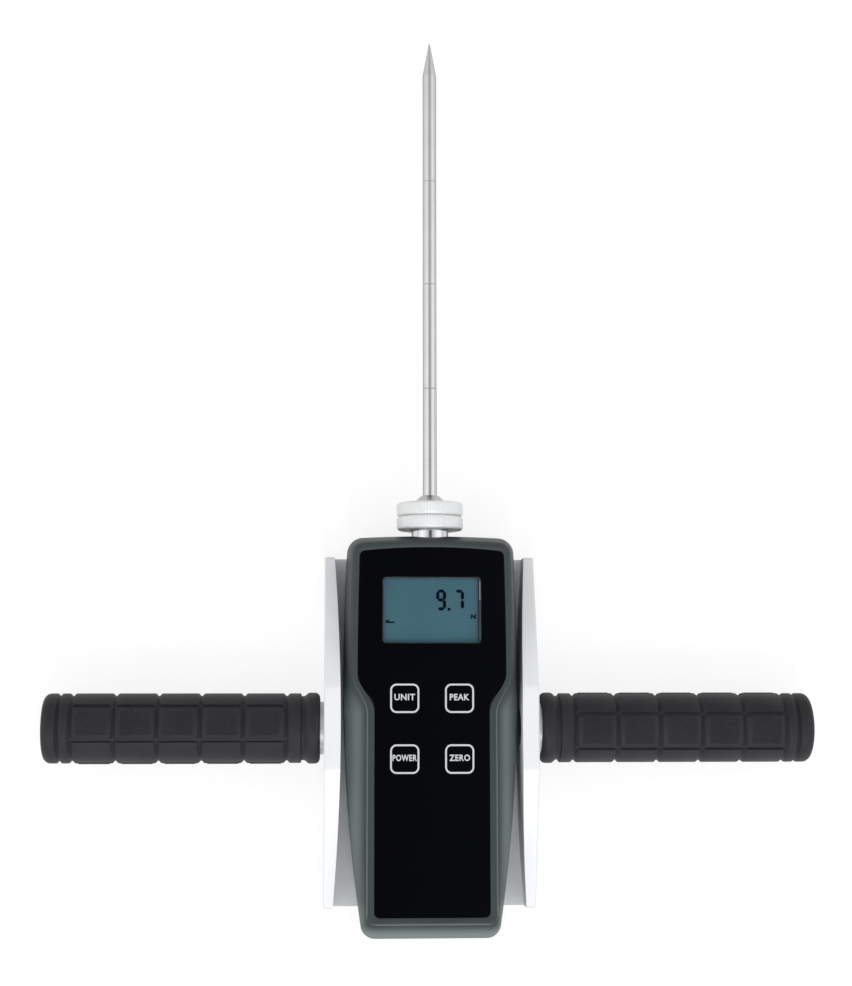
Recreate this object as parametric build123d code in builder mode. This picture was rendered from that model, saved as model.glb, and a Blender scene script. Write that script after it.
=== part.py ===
from build123d import *
import os
from math import sqrt

# Soil penetrometer: a digital force gauge in an aluminium bracket with two grips
# and a screwed-on needle probe. It lies on its back. X runs along the handles,
# Y towards the tip of the needle, and Z out of the display. The origin is on the
# rear face of the back plate, under the crossing of the handle and needle axes.

os.makedirs("parts", exist_ok=True)

# Driving dimensions, in millimetres

axis_height = 23.0            # handle axis and needle axis above the rear face

# Bracket
plate_thickness = 6.0
bracket_top = 79.0
bracket_bottom = -82.0
plate_notch_width = 54.0
plate_notch_length = 46.0
plate_notch_radius = 5.0
cheek_outer_face = 48.8
cheek_inner_mid = 41.2
cheek_inner_end = 44.2
cheek_height_mid = 39.0
cheek_height_end = 18.5
cheek_flat_half_length = 18.5
cheek_edge_chamfer = 0.5
cheek_crest_radius = 6.0
cheek_end_radius = 1.5
cheek_screw_diameter = 3.0
cheek_screw_head_diameter = 6.0
cheek_screw_length = 16.0
cheek_screw_spacing = 42.0
cheek_screw_count = 4
mount_screw_diameter = 4.0
mount_screw_head_diameter = 8.0
mount_screw_spacing_x = 22.0
mount_screw_inset = 4.5
mount_screw_recess = 0.2
mount_screw_bite = 12.0
screw_clearance = 0.25

# Handles
washer_diameter = 24.0
washer_thickness = 1.7
tube_outer_diameter = 22.0
tube_wall = 2.0
tube_length = 121.0
plug_length = 24.0
bolt_diameter = 8.0
bolt_head_diameter = 16.0
bolt_length = 26.0
grip_length = 125.3
grip_body_radius = 15.85
grip_flange_radius = 16.15
grip_flange_thickness = 5.6
grip_neck_radius = 14.6
grip_neck_length = 1.5
grip_ring_thickness = 5.4
grip_block_length = 19.4
grip_block_count = 5
grip_groove_depth = 1.2
grip_groove_width = 2.4
grip_slot_depth = 0.9
grip_slot_width = 1.5
grip_panel_count = 6
grip_panel_turn_right = 6.0
grip_panel_turn_left = 49.5
grip_end_ring_thickness = 5.2
grip_notch_width = 1.0
grip_end_rounding = 3.4
grip_fit = 0.1

# Gauge case
case_rear = plate_thickness
case_front = 40.0
case_wall = 2.2
case_top = 88.0
case_top_corner = 86.8
case_bottom = -94.3
case_widest = 39.9
case_widest_at = 22.0
case_upper_side_radius = 1200.0
case_lower_side_radius = 760.0
case_corner_radius = 7.0
case_foot_radius = 5.5
case_rear_chamfer = 1.4
slope_start = 29.0
rim_flat = 0.8
rim_upper_half_width = 36.4
rim_lower_half_width = 29.6
rim_step_top = 24.5
rim_step_bottom = 6.5
rim_top = 84.6
rim_top_corner = 82.8
rim_bottom = -87.2
rim_corner_radius = 4.5
lip_height = 1.2
lip_thickness = 1.0
lip_clearance = 0.1

# Face
face_wall = 1.8
face_corner_draw = 0.9
face_side_bow = 0.6
overlay_thickness = 0.8
overlay_drop = 0.4
overlay_upper_half_width = 33.6
overlay_lower_half_width = 25.9
overlay_top = 81.8
overlay_top_corner = 80.0
overlay_bottom = -83.8
overlay_step_top = 24.5
overlay_step_bottom = 7.5
overlay_corner_radius = 2.5
overlay_clearance = 0.15
window_width = 44.6
window_length = 29.8
window_centre_y = 53.3
window_corner_radius = 1.6
window_ledge = 1.0
window_thickness = 1.6
lcd_width = 47.0
lcd_length = 33.0
lcd_thickness = 2.8
lcd_ledge = 2.4
lcd_frame_wall = 1.5
lcd_clearance = 0.15
key_size = 13.3
key_corner_radius = 3.0
key_flange = 0.9
key_flange_thickness = 1.1
key_clearance = 0.15
key_travel = 0.5
key_spacing_x = 24.8
key_spacing_y = 27.2
key_row_centre = -0.2
key_stem_diameter = 5.0
key_stem_gap = 0.05
board_thickness = 1.6
board_front = 33.0
board_half_width = 26.5
board_top = 78.0
board_bottom = -36.0
board_screw_x = 22.5
board_screw_inset = 3.2
board_screw_diameter = 2.2
board_screw_head_diameter = 4.0
board_screw_head_height = 1.4
board_corner_radius = 1.5
chip_height = 1.2
large_chip = 10.0
small_chip_width = 9.0
small_chip_length = 4.0
chip_offset_x = 12.0
chip_offset_y = -14.0
board_boss_diameter = 5.6
dome_diameter = 7.0
dome_height = 1.0
dome_sheet_thickness = 0.4

# Force path
neck_diameter = 17.0
neck_top = 91.0
stud_diameter = 10.0
stud_length = 9.6
stud_chamfer = 1.0
stud_end_gap = 0.4
shaft_body_diameter = 12.0
shaft_screw_diameter = 6.0
shaft_screw_length = 9.0
shaft_travel = 0.5
shaft_stop_gap = 0.1
thread_clearance = 0.05
ring_diameter = 30.8
ring_thickness = 6.2
ring_gap = 0.2
ring_chamfer = 0.7
collar_height = 3.5
collar_lower_diameter = 13.0
collar_upper_diameter = 9.0
rod_diameter = 6.4
rod_seat_depth = 1.2
needle_tip = 326.2
needle_cone_length = 16.2
needle_point_radius = 0.25
needle_mark_spacing = 50.0
needle_mark_count = 3
needle_first_mark = 158.0
needle_mark_depth = 0.12
needle_mark_width = 0.7
seal_width = 2.4
seal_depth = 2.4
seal_clearance = 0.08
shaft_hole_clearance = 0.5
seal_housing_length = 6.0
seal_housing_wall = 1.6
cell_width = 30.0
cell_length = 50.0
cell_thickness = 12.0
cell_slot = 2.4
cell_slot_reach = 22.0
cell_slot_inset = 12.0
cell_window_diameter = 12.0
anchor_width = 32.0
anchor_length = 20.0
anchor_bottom = 4.0
anchor_screw_diameter = 6.0
anchor_screw_head_diameter = 10.0
anchor_screw_head_height = 6.0
anchor_screw_socket = 5.4
anchor_screw_bite = 9.0

# Battery bay
cell_count = 4
battery_diameter = 10.3
battery_length = 44.3
battery_pitch = 11.2
battery_nub = 0.9
battery_nub_diameter = 3.8
bay_clearance = 0.3
bay_ceiling = 1.6
contact_thickness = 0.5
contact_width = 8.8
contact_spring_length = 3.6
contact_spring_diameter = 7.0
door_thickness = 2.2
door_overlap = 1.0
door_tongue = 1.6
door_tongue_thickness = 1.1
door_clearance = 0.15
door_rail = 1.8
door_toe_chamfer = 1.0
door_grip_width = 27.0
door_grip_inset = 8.0
door_grip_count = 5
door_grip_pitch = 2.2
door_grip_depth = 0.6

# Case screws
case_screw_diameter = 3.0
case_screw_head_diameter = 5.6
case_screw_head_height = 2.2
case_screw_length = 21.6
case_screw_recess = 0.3
case_screw_inset = 14.0
case_boss_diameter = 6.6
case_boss_merge = 0.6
case_boss_front = 29.2
case_boss_roof = 0.6

# Derived places

face_top = case_front - overlay_drop
face_floor = face_top - overlay_thickness
wall_under = face_floor - face_wall
rim_start = case_front - rim_flat
parting = axis_height
lock_bottom = neck_top + ring_gap
lock_top = lock_bottom + ring_thickness
head_bottom = lock_top + ring_gap
head_top = head_bottom + ring_thickness
collar_top = head_top + collar_height
grip_inner = cheek_outer_face + washer_thickness
bow_radius = (bracket_top ** 2 + (cheek_inner_end - cheek_inner_mid) ** 2) / (
    2 * (cheek_inner_end - cheek_inner_mid)
)
handle_plane = Plane((0, 0, axis_height), x_dir=(0, 1, 0), z_dir=(1, 0, 0))
needle_plane = Plane((0, 0, axis_height), x_dir=(1, 0, 0), z_dir=(0, 1, 0))


def cheek_inner_at(y):
    """X of the bowed inner face of a cheek at a place along the bracket."""
    return cheek_inner_mid + bow_radius - sqrt(bow_radius ** 2 - y ** 2)


def case_half_width(y, inset=0.0):
    """Half width of the case at a place along it."""
    radius = case_upper_side_radius if y > case_widest_at else case_lower_side_radius
    return case_widest - radius + sqrt(radius ** 2 - (y - case_widest_at) ** 2) - inset


def case_face(inset):
    """The outline of the case, drawn in by inset all round."""
    top = case_top - inset
    corner = case_top_corner - inset
    bottom = case_bottom + inset
    stations = [corner, rim_step_top, rim_step_bottom, bottom]
    with BuildSketch() as face:
        with BuildLine():
            for side in (1, -1):
                for upper, lower in zip(stations, stations[1:]):
                    middle = (upper + lower) / 2
                    ThreePointArc(
                        (side * case_half_width(upper, inset), upper),
                        (side * case_half_width(middle, inset), middle),
                        (side * case_half_width(lower, inset), lower),
                    )
            ThreePointArc(
                (-case_half_width(corner, inset), corner),
                (0, top),
                (case_half_width(corner, inset), corner),
            )
            Line(
                (case_half_width(bottom, inset), bottom),
                (-case_half_width(bottom, inset), bottom),
            )
        make_face()
        fillet(face.vertices().group_by(Axis.Y)[-1], case_corner_radius - inset / 2)
        fillet(face.vertices().group_by(Axis.Y)[0], case_foot_radius - inset / 2)
    return face.sketch


def stepped_face(inset, upper, lower, top, corner, bottom, step_top, step_bottom, radius):
    """A face outline that is wide round the display and narrow round the keys."""
    top_width = upper - inset - face_corner_draw
    middle_width = upper - inset - face_corner_draw / 2 + face_side_bow / 4
    with BuildSketch() as face:
        with BuildLine():
            for side in (1, -1):
                ThreePointArc(
                    (side * top_width, corner - inset),
                    (side * middle_width, (corner + step_top) / 2),
                    (side * (upper - inset), step_top),
                )
                Spline(
                    (side * (upper - inset), step_top),
                    (side * (lower - inset), step_bottom),
                    tangents=((0, -1), (0, -1)),
                )
                Line(
                    (side * (lower - inset), step_bottom),
                    (side * (lower - inset), bottom + inset),
                )
            ThreePointArc(
                (-top_width, corner - inset), (0, top - inset), (top_width, corner - inset)
            )
            Line((lower - inset, bottom + inset), (inset - lower, bottom + inset))
        make_face()
        fillet(face.vertices().group_by(Axis.Y)[-1], radius - inset / 2)
        fillet(face.vertices().group_by(Axis.Y)[0], radius - inset / 2)
    return face.sketch


def rim_face(inset):
    """The raised rim that runs round the face of the case."""
    return stepped_face(
        inset, rim_upper_half_width, rim_lower_half_width, rim_top, rim_top_corner,
        rim_bottom, rim_step_top, rim_step_bottom, rim_corner_radius,
    )


def overlay_face(inset):
    """The outline of the glossy face panel."""
    return stepped_face(
        inset, overlay_upper_half_width, overlay_lower_half_width, overlay_top,
        overlay_top_corner, overlay_bottom, overlay_step_top, overlay_step_bottom,
        overlay_corner_radius,
    )


# Places of the screws, keys and cells

mount_screw_places = [
    (x, y)
    for x in (-mount_screw_spacing_x / 2, mount_screw_spacing_x / 2)
    for y in (mount_screw_inset, anchor_length - mount_screw_inset)
]
anchor_top = anchor_bottom + anchor_length
cell_bottom = anchor_top
cell_top = cell_bottom + cell_length
cell_middle = (cell_bottom + cell_top) / 2
cheek_screw_height = plate_thickness / 2
cheek_screw_rows = [
    (i - (cheek_screw_count - 1) / 2) * cheek_screw_spacing for i in range(cheek_screw_count)
]
key_names = ["key_unit", "key_peak", "key_power", "key_zero"]
key_places = [
    (x * key_spacing_x / 2, key_row_centre + y * key_spacing_y / 2)
    for y in (1, -1)
    for x in (-1, 1)
]
case_screw_places = [
    (side * (case_half_width(y) - case_wall - case_boss_diameter / 2 + case_boss_merge), y)
    for y in (case_top - case_screw_inset, 0.0, case_bottom + case_screw_inset)
    for side in (1, -1)
]
board_screw_places = [
    (side * board_screw_x, y)
    for y in (board_top - board_screw_inset, board_bottom + board_screw_inset)
    for side in (1, -1)
]
bay_half_width = cell_count * battery_pitch / 2
bay_length = battery_length + 2 * contact_thickness + contact_spring_length + 2 * bay_clearance
bay_bottom = case_bottom + case_wall + bay_ceiling
bay_top = bay_bottom + bay_length
door_inner = case_rear + door_thickness
battery_height = door_inner + bay_clearance + battery_diameter / 2
bay_roof = battery_height + battery_diameter / 2 + bay_clearance
door_end = bay_top + door_overlap
tongue_floor = door_inner - door_tongue_thickness
battery_centres = [
    (i - (cell_count - 1) / 2) * battery_pitch for i in range(cell_count)
]


# Back plate of the bracket, bowed at its sides to seat in the cheeks

with BuildPart() as back_plate:
    with BuildSketch():
        with BuildLine():
            for side in (1, -1):
                ThreePointArc(
                    (side * cheek_inner_at(bracket_top), bracket_top),
                    (side * cheek_inner_mid, 0),
                    (side * cheek_inner_at(bracket_bottom), bracket_bottom),
                )
            for y in (bracket_top, bracket_bottom):
                Line((-cheek_inner_at(y), y), (cheek_inner_at(y), y))
        make_face()
        with Locations((0, bracket_bottom + plate_notch_length / 2)):
            Rectangle(plate_notch_width, plate_notch_length, mode=Mode.SUBTRACT)
    extrude(amount=plate_thickness)
    notch_corners = (
        back_plate.edges().filter_by(Axis.Z)
        .filter_by_position(Axis.X, -plate_notch_width / 2 - 0.1, plate_notch_width / 2 + 0.1)
        .group_by(Axis.Y)[-1]
    )
    fillet(notch_corners, plate_notch_radius)
    with Locations(Plane.XY.rotated((180, 0, 0))):
        with Locations([(x, -y - anchor_bottom) for x, y in mount_screw_places]):
            CounterSinkHole(
                mount_screw_diameter / 2 + screw_clearance,
                mount_screw_head_diameter / 2 + screw_clearance,
                counter_sink_angle=90,
            )
    for side in (1, -1):
        for y in cheek_screw_rows:
            edge = Plane((side * cheek_inner_at(y), y, cheek_screw_height), z_dir=(side, 0, 0))
            with BuildSketch(edge.offset(1.0)):
                Circle(cheek_screw_diameter / 2 + thread_clearance)
            extrude(amount=-cheek_screw_length, mode=Mode.SUBTRACT)
back_plate.part.label = "back_plate"
export_step(back_plate.part, "parts/back_plate.step")


# Cheeks: tall in the middle for the handles, drawn down towards both ends

with BuildPart() as cheek_right:
    with BuildSketch(Plane.YZ.offset(cheek_inner_mid - 1)):
        Polygon(
            (bracket_bottom, 0),
            (bracket_top, 0),
            (bracket_top, cheek_height_end),
            (cheek_flat_half_length, cheek_height_mid),
            (-cheek_flat_half_length, cheek_height_mid),
            (bracket_bottom, cheek_height_end),
            align=None,
        )
    extrude(amount=cheek_outer_face - cheek_inner_mid + 2)
    with BuildSketch():
        with BuildLine():
            ThreePointArc(
                (cheek_inner_at(bracket_top), bracket_top), (cheek_inner_mid, 0),
                (cheek_inner_at(bracket_bottom), bracket_bottom),
            )
            Polyline(
                (cheek_inner_at(bracket_bottom), bracket_bottom),
                (cheek_outer_face, bracket_bottom), (cheek_outer_face, bracket_top),
                (cheek_inner_at(bracket_top), bracket_top),
            )
        make_face()
    extrude(amount=cheek_height_mid, mode=Mode.INTERSECT)
    crest = cheek_right.edges().filter_by_position(
        Axis.Z, cheek_height_mid - 0.01, cheek_height_mid + 0.01
    )
    fillet(crest.filter_by(Axis.X), cheek_crest_radius)
    ends = cheek_right.edges().filter_by(Axis.X).filter_by_position(
        Axis.Z, cheek_height_end - 0.01, cheek_height_end + 0.01
    )
    fillet(ends, cheek_end_radius)
    outer_crest = cheek_right.faces().sort_by(Axis.X)[-1].edges().filter_by_position(
        Axis.Z, cheek_height_end, cheek_height_mid + 0.1
    )
    chamfer(outer_crest, cheek_edge_chamfer)
    with Locations(Plane((cheek_inner_mid, 0, axis_height), z_dir=(-1, 0, 0))):
        CounterSinkHole(
            bolt_diameter / 2 + screw_clearance, bolt_head_diameter / 2 + screw_clearance,
            counter_sink_angle=90,
        )
    for y in cheek_screw_rows:
        with Locations(Plane((cheek_outer_face, y, cheek_screw_height), z_dir=(1, 0, 0))):
            CounterSinkHole(
                cheek_screw_diameter / 2 + screw_clearance,
                cheek_screw_head_diameter / 2 + screw_clearance,
                counter_sink_angle=90,
            )
cheek_right.part.label = "cheek_right"
export_step(cheek_right.part, "parts/cheek_right.step")

with BuildPart() as cheek_left:
    mirror(cheek_right.part, about=Plane.YZ)
cheek_left.part.label = "cheek_left"
export_step(cheek_left.part, "parts/cheek_left.step")


def countersunk_screw(diameter, head_diameter, length):
    """A countersunk screw along Z, its head's flat face at z = 0 and its point below."""
    cone = (head_diameter - diameter) / 2
    with BuildPart() as screw:
        with BuildSketch(Plane.XZ):
            Polygon(
                (0, 0), (head_diameter / 2, 0), (diameter / 2, -cone),
                (diameter / 2, -length), (0, -length),
                align=None,
            )
        revolve(axis=Axis.Z)
    return screw.part


with BuildPart() as cheek_screws:
    small_screw = countersunk_screw(
        cheek_screw_diameter, cheek_screw_head_diameter, cheek_screw_length
    )
    for side in (1, -1):
        for y in cheek_screw_rows:
            with Locations(Plane((side * cheek_outer_face, y, cheek_screw_height),
                                 z_dir=(side, 0, 0))):
                add(small_screw)
cheek_screws.part.label = "cheek_screws"
export_step(cheek_screws.part, "parts/cheek_screws.step")

with BuildPart() as case_mount_screws:
    mount_screw_length = plate_thickness + case_wall + mount_screw_bite
    mount_screw = countersunk_screw(
        mount_screw_diameter, mount_screw_head_diameter, mount_screw_length
    )
    for x, y in mount_screw_places:
        with Locations(Plane((x, y + anchor_bottom, mount_screw_recess), z_dir=(0, 0, -1))):
            add(mount_screw)
case_mount_screws.part.label = "case_mount_screws"
export_step(case_mount_screws.part, "parts/case_mount_screws.step")


# Handles, made on the right and mirrored to the left

with BuildPart() as handle_washer_right:
    with BuildSketch(handle_plane.offset(cheek_outer_face)):
        Circle(washer_diameter / 2)
        Circle(bolt_diameter / 2 + screw_clearance, mode=Mode.SUBTRACT)
    extrude(amount=washer_thickness)

with BuildPart() as handle_tube_right:
    with BuildSketch(handle_plane.offset(grip_inner)):
        Circle(tube_outer_diameter / 2)
        Circle(tube_outer_diameter / 2 - tube_wall, mode=Mode.SUBTRACT)
    extrude(amount=tube_length)

with BuildPart() as handle_plug_right:
    with BuildSketch(handle_plane.offset(grip_inner)):
        Circle(tube_outer_diameter / 2 - tube_wall - thread_clearance)
        Circle(bolt_diameter / 2 + thread_clearance, mode=Mode.SUBTRACT)
    extrude(amount=plug_length)

with BuildPart() as handle_bolt_right:
    with Locations(Plane((cheek_inner_mid, 0, axis_height), z_dir=(-1, 0, 0))):
        add(countersunk_screw(bolt_diameter, bolt_head_diameter, bolt_length))

ring_start = grip_flange_thickness + 2 * grip_neck_length
block_start = ring_start + grip_ring_thickness + grip_groove_width / 2
block_end = block_start + grip_block_count * grip_block_length
notch_start = block_end + grip_groove_width / 2 + grip_end_ring_thickness
notch_end = notch_start + grip_notch_width


def grip(panel_turn):
    """A moulded grip on the right handle, its long grooves turned by panel_turn."""
    outline = [
        (0, grip_flange_radius),
        (grip_flange_thickness, grip_flange_radius),
        (grip_flange_thickness + grip_neck_length, grip_neck_radius),
        (ring_start, grip_neck_radius),
        (ring_start, grip_body_radius),
    ]
    for i in range(grip_block_count + 1):
        groove = block_start + i * grip_block_length
        outline += [
            (groove - grip_groove_width / 2, grip_body_radius),
            (groove, grip_body_radius - grip_groove_depth),
            (groove + grip_groove_width / 2, grip_body_radius),
        ]
    outline += [
        (notch_start, grip_body_radius),
        (notch_start + grip_notch_width / 2, grip_body_radius - grip_notch_width),
        (notch_end, grip_body_radius),
        (grip_length, grip_body_radius),
        (grip_length, 0),
        (tube_length + grip_fit, 0),
        (tube_length + grip_fit, tube_outer_diameter / 2 + grip_fit),
        (0, tube_outer_diameter / 2 + grip_fit),
    ]
    with BuildPart() as moulding:
        with BuildSketch(Plane((grip_inner, 0, axis_height), x_dir=(1, 0, 0), z_dir=(0, -1, 0))):
            Polygon(*outline, align=None)
        revolve(axis=Axis((grip_inner, 0, axis_height), (1, 0, 0)))
        end_edge = moulding.edges().filter_by(GeomType.CIRCLE).group_by(Axis.X)[-1]
        fillet(end_edge, grip_end_rounding)
        for i in range(grip_panel_count):
            turn = panel_turn + i * 360 / grip_panel_count
            spoke = handle_plane.offset(grip_inner + block_start).rotated((0, 0, turn))
            with BuildSketch(spoke):
                with Locations((grip_body_radius - grip_slot_depth, 0)):
                    Rectangle(
                        grip_body_radius, grip_slot_width, align=(Align.MIN, Align.CENTER)
                    )
            extrude(amount=block_end - block_start, mode=Mode.SUBTRACT)
    return moulding.part


with BuildPart() as grip_right:
    add(grip(grip_panel_turn_right))
grip_right.part.label = "grip_right"
export_step(grip_right.part, "parts/grip_right.step")

with BuildPart() as grip_left:
    mirror(grip(grip_panel_turn_left), about=Plane.YZ)
grip_left.part.label = "grip_left"
export_step(grip_left.part, "parts/grip_left.step")

handle_parts = {
    "handle_washer": handle_washer_right,
    "handle_tube": handle_tube_right,
    "handle_plug": handle_plug_right,
    "handle_bolt": handle_bolt_right,
}
for name, right in handle_parts.items():
    right.part.label = name + "_right"
    export_step(right.part, f"parts/{name}_right.step")
    with BuildPart() as left:
        mirror(right.part, about=Plane.YZ)
    left.part.label = name + "_left"
    export_step(left.part, f"parts/{name}_left.step")


# Places inside the case

seal_housing_bottom = case_top - case_wall - seal_housing_length
seal_housing_radius = neck_diameter / 2 + seal_depth + seal_housing_wall
seal_start = seal_housing_bottom + (seal_housing_length - seal_width) / 2
shaft_hole_radius = neck_diameter / 2 + shaft_hole_clearance
axis_line = Axis((0, 0, axis_height), (0, 1, 0))
axis_sketch = Plane((0, 0, axis_height), x_dir=(1, 0, 0), z_dir=(0, 0, 1))
window_floor = face_top - window_thickness


def half_disc(radius, upper):
    """A half disc about the needle axis, above or below the parting of the case."""
    edge = Align.MIN if upper else Align.MAX
    with BuildSketch() as disc:
        Circle(radius)
        Rectangle(2 * radius, radius, align=(Align.CENTER, edge), mode=Mode.SUBTRACT)
    return disc.sketch


def seal_housing(upper):
    """Half of the housing that carries the shaft seal."""
    with BuildPart() as housing:
        with BuildSketch(needle_plane.offset(seal_housing_bottom)):
            add(half_disc(seal_housing_radius, upper))
        extrude(amount=seal_housing_length + case_wall / 2)
    return housing.part


def shaft_passage():
    """The hole for the shaft and the groove of its seal."""
    with BuildPart() as passage:
        with BuildSketch(needle_plane.offset(seal_housing_bottom - 1)):
            Circle(shaft_hole_radius)
        extrude(amount=seal_housing_length + case_wall + 3)
        with BuildSketch(needle_plane.offset(seal_start)):
            Circle(neck_diameter / 2 + seal_depth + thread_clearance)
        extrude(amount=seal_width + 2 * thread_clearance)
    return passage.part


# Rear shell with the battery bay

with BuildPart() as rear_shell:
    with BuildSketch(Plane.XY.offset(case_rear)):
        add(case_face(0))
    extrude(amount=parting - case_rear)
    chamfer(rear_shell.faces().sort_by(Axis.Z)[0].edges(), case_rear_chamfer)
    with BuildSketch(Plane.XY.offset(case_rear + case_wall)):
        add(case_face(case_wall))
    extrude(amount=parting, mode=Mode.SUBTRACT)
    with BuildSketch(Plane.XY.offset(parting)):
        add(case_face(case_wall - lip_thickness))
        add(case_face(case_wall), mode=Mode.SUBTRACT)
    extrude(amount=lip_height)
    add(seal_housing(False))
    bay_middle = (bay_bottom + bay_top) / 2
    with BuildSketch(Plane.XY.offset(case_rear)):
        with Locations((0, bay_middle)):
            Rectangle(
                2 * (bay_half_width + bay_ceiling + door_clearance), bay_length + 2 * bay_ceiling
            )
    extrude(amount=bay_roof + bay_ceiling - case_rear)
    rail_half_width = bay_half_width + door_tongue + 2 * door_clearance + door_rail
    rail_length = door_end + bay_ceiling - case_bottom - case_wall / 2
    with BuildSketch(Plane.XY.offset(case_rear)):
        with Locations((0, door_end + bay_ceiling - rail_length / 2)):
            Rectangle(2 * rail_half_width, rail_length)
    extrude(amount=door_thickness + door_clearance + bay_ceiling)
    with BuildSketch(Plane.XY.offset(door_inner)):
        with Locations((0, bay_middle)):
            Rectangle(2 * (bay_half_width + door_clearance), bay_length)
    extrude(amount=bay_roof - door_inner, mode=Mode.SUBTRACT)
    door_way = door_end + door_clearance - case_bottom + 1
    door_way_middle = door_end + door_clearance - door_way / 2
    with BuildSketch(Plane.XY.offset(case_rear)):
        with Locations((0, door_way_middle)):
            Rectangle(2 * (bay_half_width + door_clearance), door_way)
    extrude(amount=door_thickness + door_clearance, mode=Mode.SUBTRACT)
    with BuildSketch(Plane.XY.offset(tongue_floor - door_clearance)):
        with Locations((0, door_way_middle)):
            Rectangle(2 * (bay_half_width + door_tongue + 2 * door_clearance), door_way)
    extrude(amount=door_tongue_thickness + 2 * door_clearance, mode=Mode.SUBTRACT)
    with BuildSketch(Plane.XY.offset(case_rear + case_wall / 2)):
        with Locations(case_screw_places):
            Circle(case_boss_diameter / 2)
    extrude(amount=parting - case_rear - case_wall / 2)
    with Locations(Plane.XY.offset(case_rear).rotated((180, 0, 0))):
        with Locations([(x, -y) for x, y in case_screw_places]):
            CounterBoreHole(
                case_screw_diameter / 2 + screw_clearance,
                case_screw_head_diameter / 2 + screw_clearance,
                case_screw_head_height + case_screw_recess,
            )
        with Locations([(x, -y - anchor_bottom) for x, y in mount_screw_places]):
            Hole(mount_screw_diameter / 2 + screw_clearance, depth=case_wall)
    add(shaft_passage(), mode=Mode.SUBTRACT)
rear_shell.part.label = "rear_shell"
export_step(rear_shell.part, "parts/rear_shell.step")


# Front shell: a rim round the face, with sides that slope out from it

with BuildPart() as front_shell:
    with BuildSketch(Plane.XY.offset(parting)):
        add(case_face(0))
    extrude(amount=slope_start - parting)
    with BuildSketch(Plane.XY.offset(slope_start)):
        add(case_face(0))
    with BuildSketch(Plane.XY.offset(rim_start)):
        add(rim_face(0))
    loft(ruled=True)
    with BuildSketch(Plane.XY.offset(rim_start)):
        add(rim_face(0))
    extrude(amount=rim_flat)
    with BuildSketch(Plane.XY.offset(parting)):
        add(case_face(case_wall))
    extrude(amount=slope_start - 1 - parting, mode=Mode.SUBTRACT)
    with BuildSketch(Plane.XY.offset(slope_start - 1)):
        add(case_face(case_wall))
    with BuildSketch(Plane.XY.offset(wall_under)):
        add(rim_face(case_wall))
    loft(ruled=True, mode=Mode.SUBTRACT)
    add(seal_housing(True))
    with BuildSketch(Plane.XY.offset(parting)):
        with Locations(case_screw_places):
            Circle(case_boss_diameter / 2)
            Circle(case_screw_diameter / 2 + thread_clearance, mode=Mode.SUBTRACT)
    extrude(amount=case_boss_front - parting)
    with BuildSketch(Plane.XY.offset(parting)):
        with Locations(case_screw_places):
            Circle(case_screw_diameter / 2 + thread_clearance)
    extrude(amount=case_boss_front - case_boss_roof - parting, mode=Mode.SUBTRACT)
    with BuildSketch(Plane.XY.offset(parting)):
        add(case_face(case_wall - lip_thickness - lip_clearance))
        add(case_face(case_wall + lip_clearance), mode=Mode.SUBTRACT)
    extrude(amount=lip_height + lip_clearance, mode=Mode.SUBTRACT)
    with BuildSketch(Plane.XY.offset(board_front)):
        with Locations(board_screw_places):
            Circle(board_boss_diameter / 2)
            Circle(board_screw_diameter / 2 + thread_clearance, mode=Mode.SUBTRACT)
    extrude(amount=wall_under - board_front)
    with BuildSketch(Plane.XY.offset(face_floor)):
        add(overlay_face(-overlay_clearance))
    extrude(amount=case_front - face_floor, mode=Mode.SUBTRACT)
    with BuildSketch(Plane.XY.offset(window_floor)):
        with Locations((0, window_centre_y)):
            RectangleRounded(
                window_width + 2 * overlay_clearance, window_length + 2 * overlay_clearance,
                window_corner_radius,
            )
    extrude(amount=window_thickness, mode=Mode.SUBTRACT)
    with BuildSketch(Plane.XY.offset(wall_under)):
        with Locations((0, window_centre_y)):
            Rectangle(window_width - 2 * window_ledge, window_length - 2 * window_ledge)
        with Locations(key_places):
            RectangleRounded(
                key_size + 2 * key_clearance, key_size + 2 * key_clearance, key_corner_radius
            )
    extrude(amount=case_front - wall_under, mode=Mode.SUBTRACT)
    add(shaft_passage(), mode=Mode.SUBTRACT)
front_shell.part.label = "front_shell"
export_step(front_shell.part, "parts/front_shell.step")

with BuildPart() as case_screws:
    head_base = case_rear + case_screw_recess
    with BuildSketch(Plane.XY.offset(head_base)):
        with Locations(case_screw_places):
            Circle(case_screw_head_diameter / 2)
    extrude(amount=case_screw_head_height)
    with BuildSketch(Plane.XY.offset(head_base)):
        with Locations(case_screw_places):
            Circle(case_screw_diameter / 2)
    extrude(amount=case_screw_length)
case_screws.part.label = "case_screws"
export_step(case_screws.part, "parts/case_screws.step")


# Face: panel, display and keys

with BuildPart() as face_overlay:
    with BuildSketch(Plane.XY.offset(face_floor)):
        add(overlay_face(0))
        with Locations((0, window_centre_y)):
            RectangleRounded(
                window_width + 2 * overlay_clearance, window_length + 2 * overlay_clearance,
                window_corner_radius, mode=Mode.SUBTRACT,
            )
        with Locations(key_places):
            RectangleRounded(
                key_size + 2 * key_clearance, key_size + 2 * key_clearance, key_corner_radius,
                mode=Mode.SUBTRACT,
            )
    extrude(amount=overlay_thickness)
face_overlay.part.label = "face_overlay"
export_step(face_overlay.part, "parts/face_overlay.step")

with BuildPart() as display_window:
    with BuildSketch(Plane.XY.offset(window_floor)):
        with Locations((0, window_centre_y)):
            RectangleRounded(window_width, window_length, window_corner_radius)
    extrude(amount=window_thickness)
display_window.part.label = "display_window"
export_step(display_window.part, "parts/display_window.step")

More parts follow.
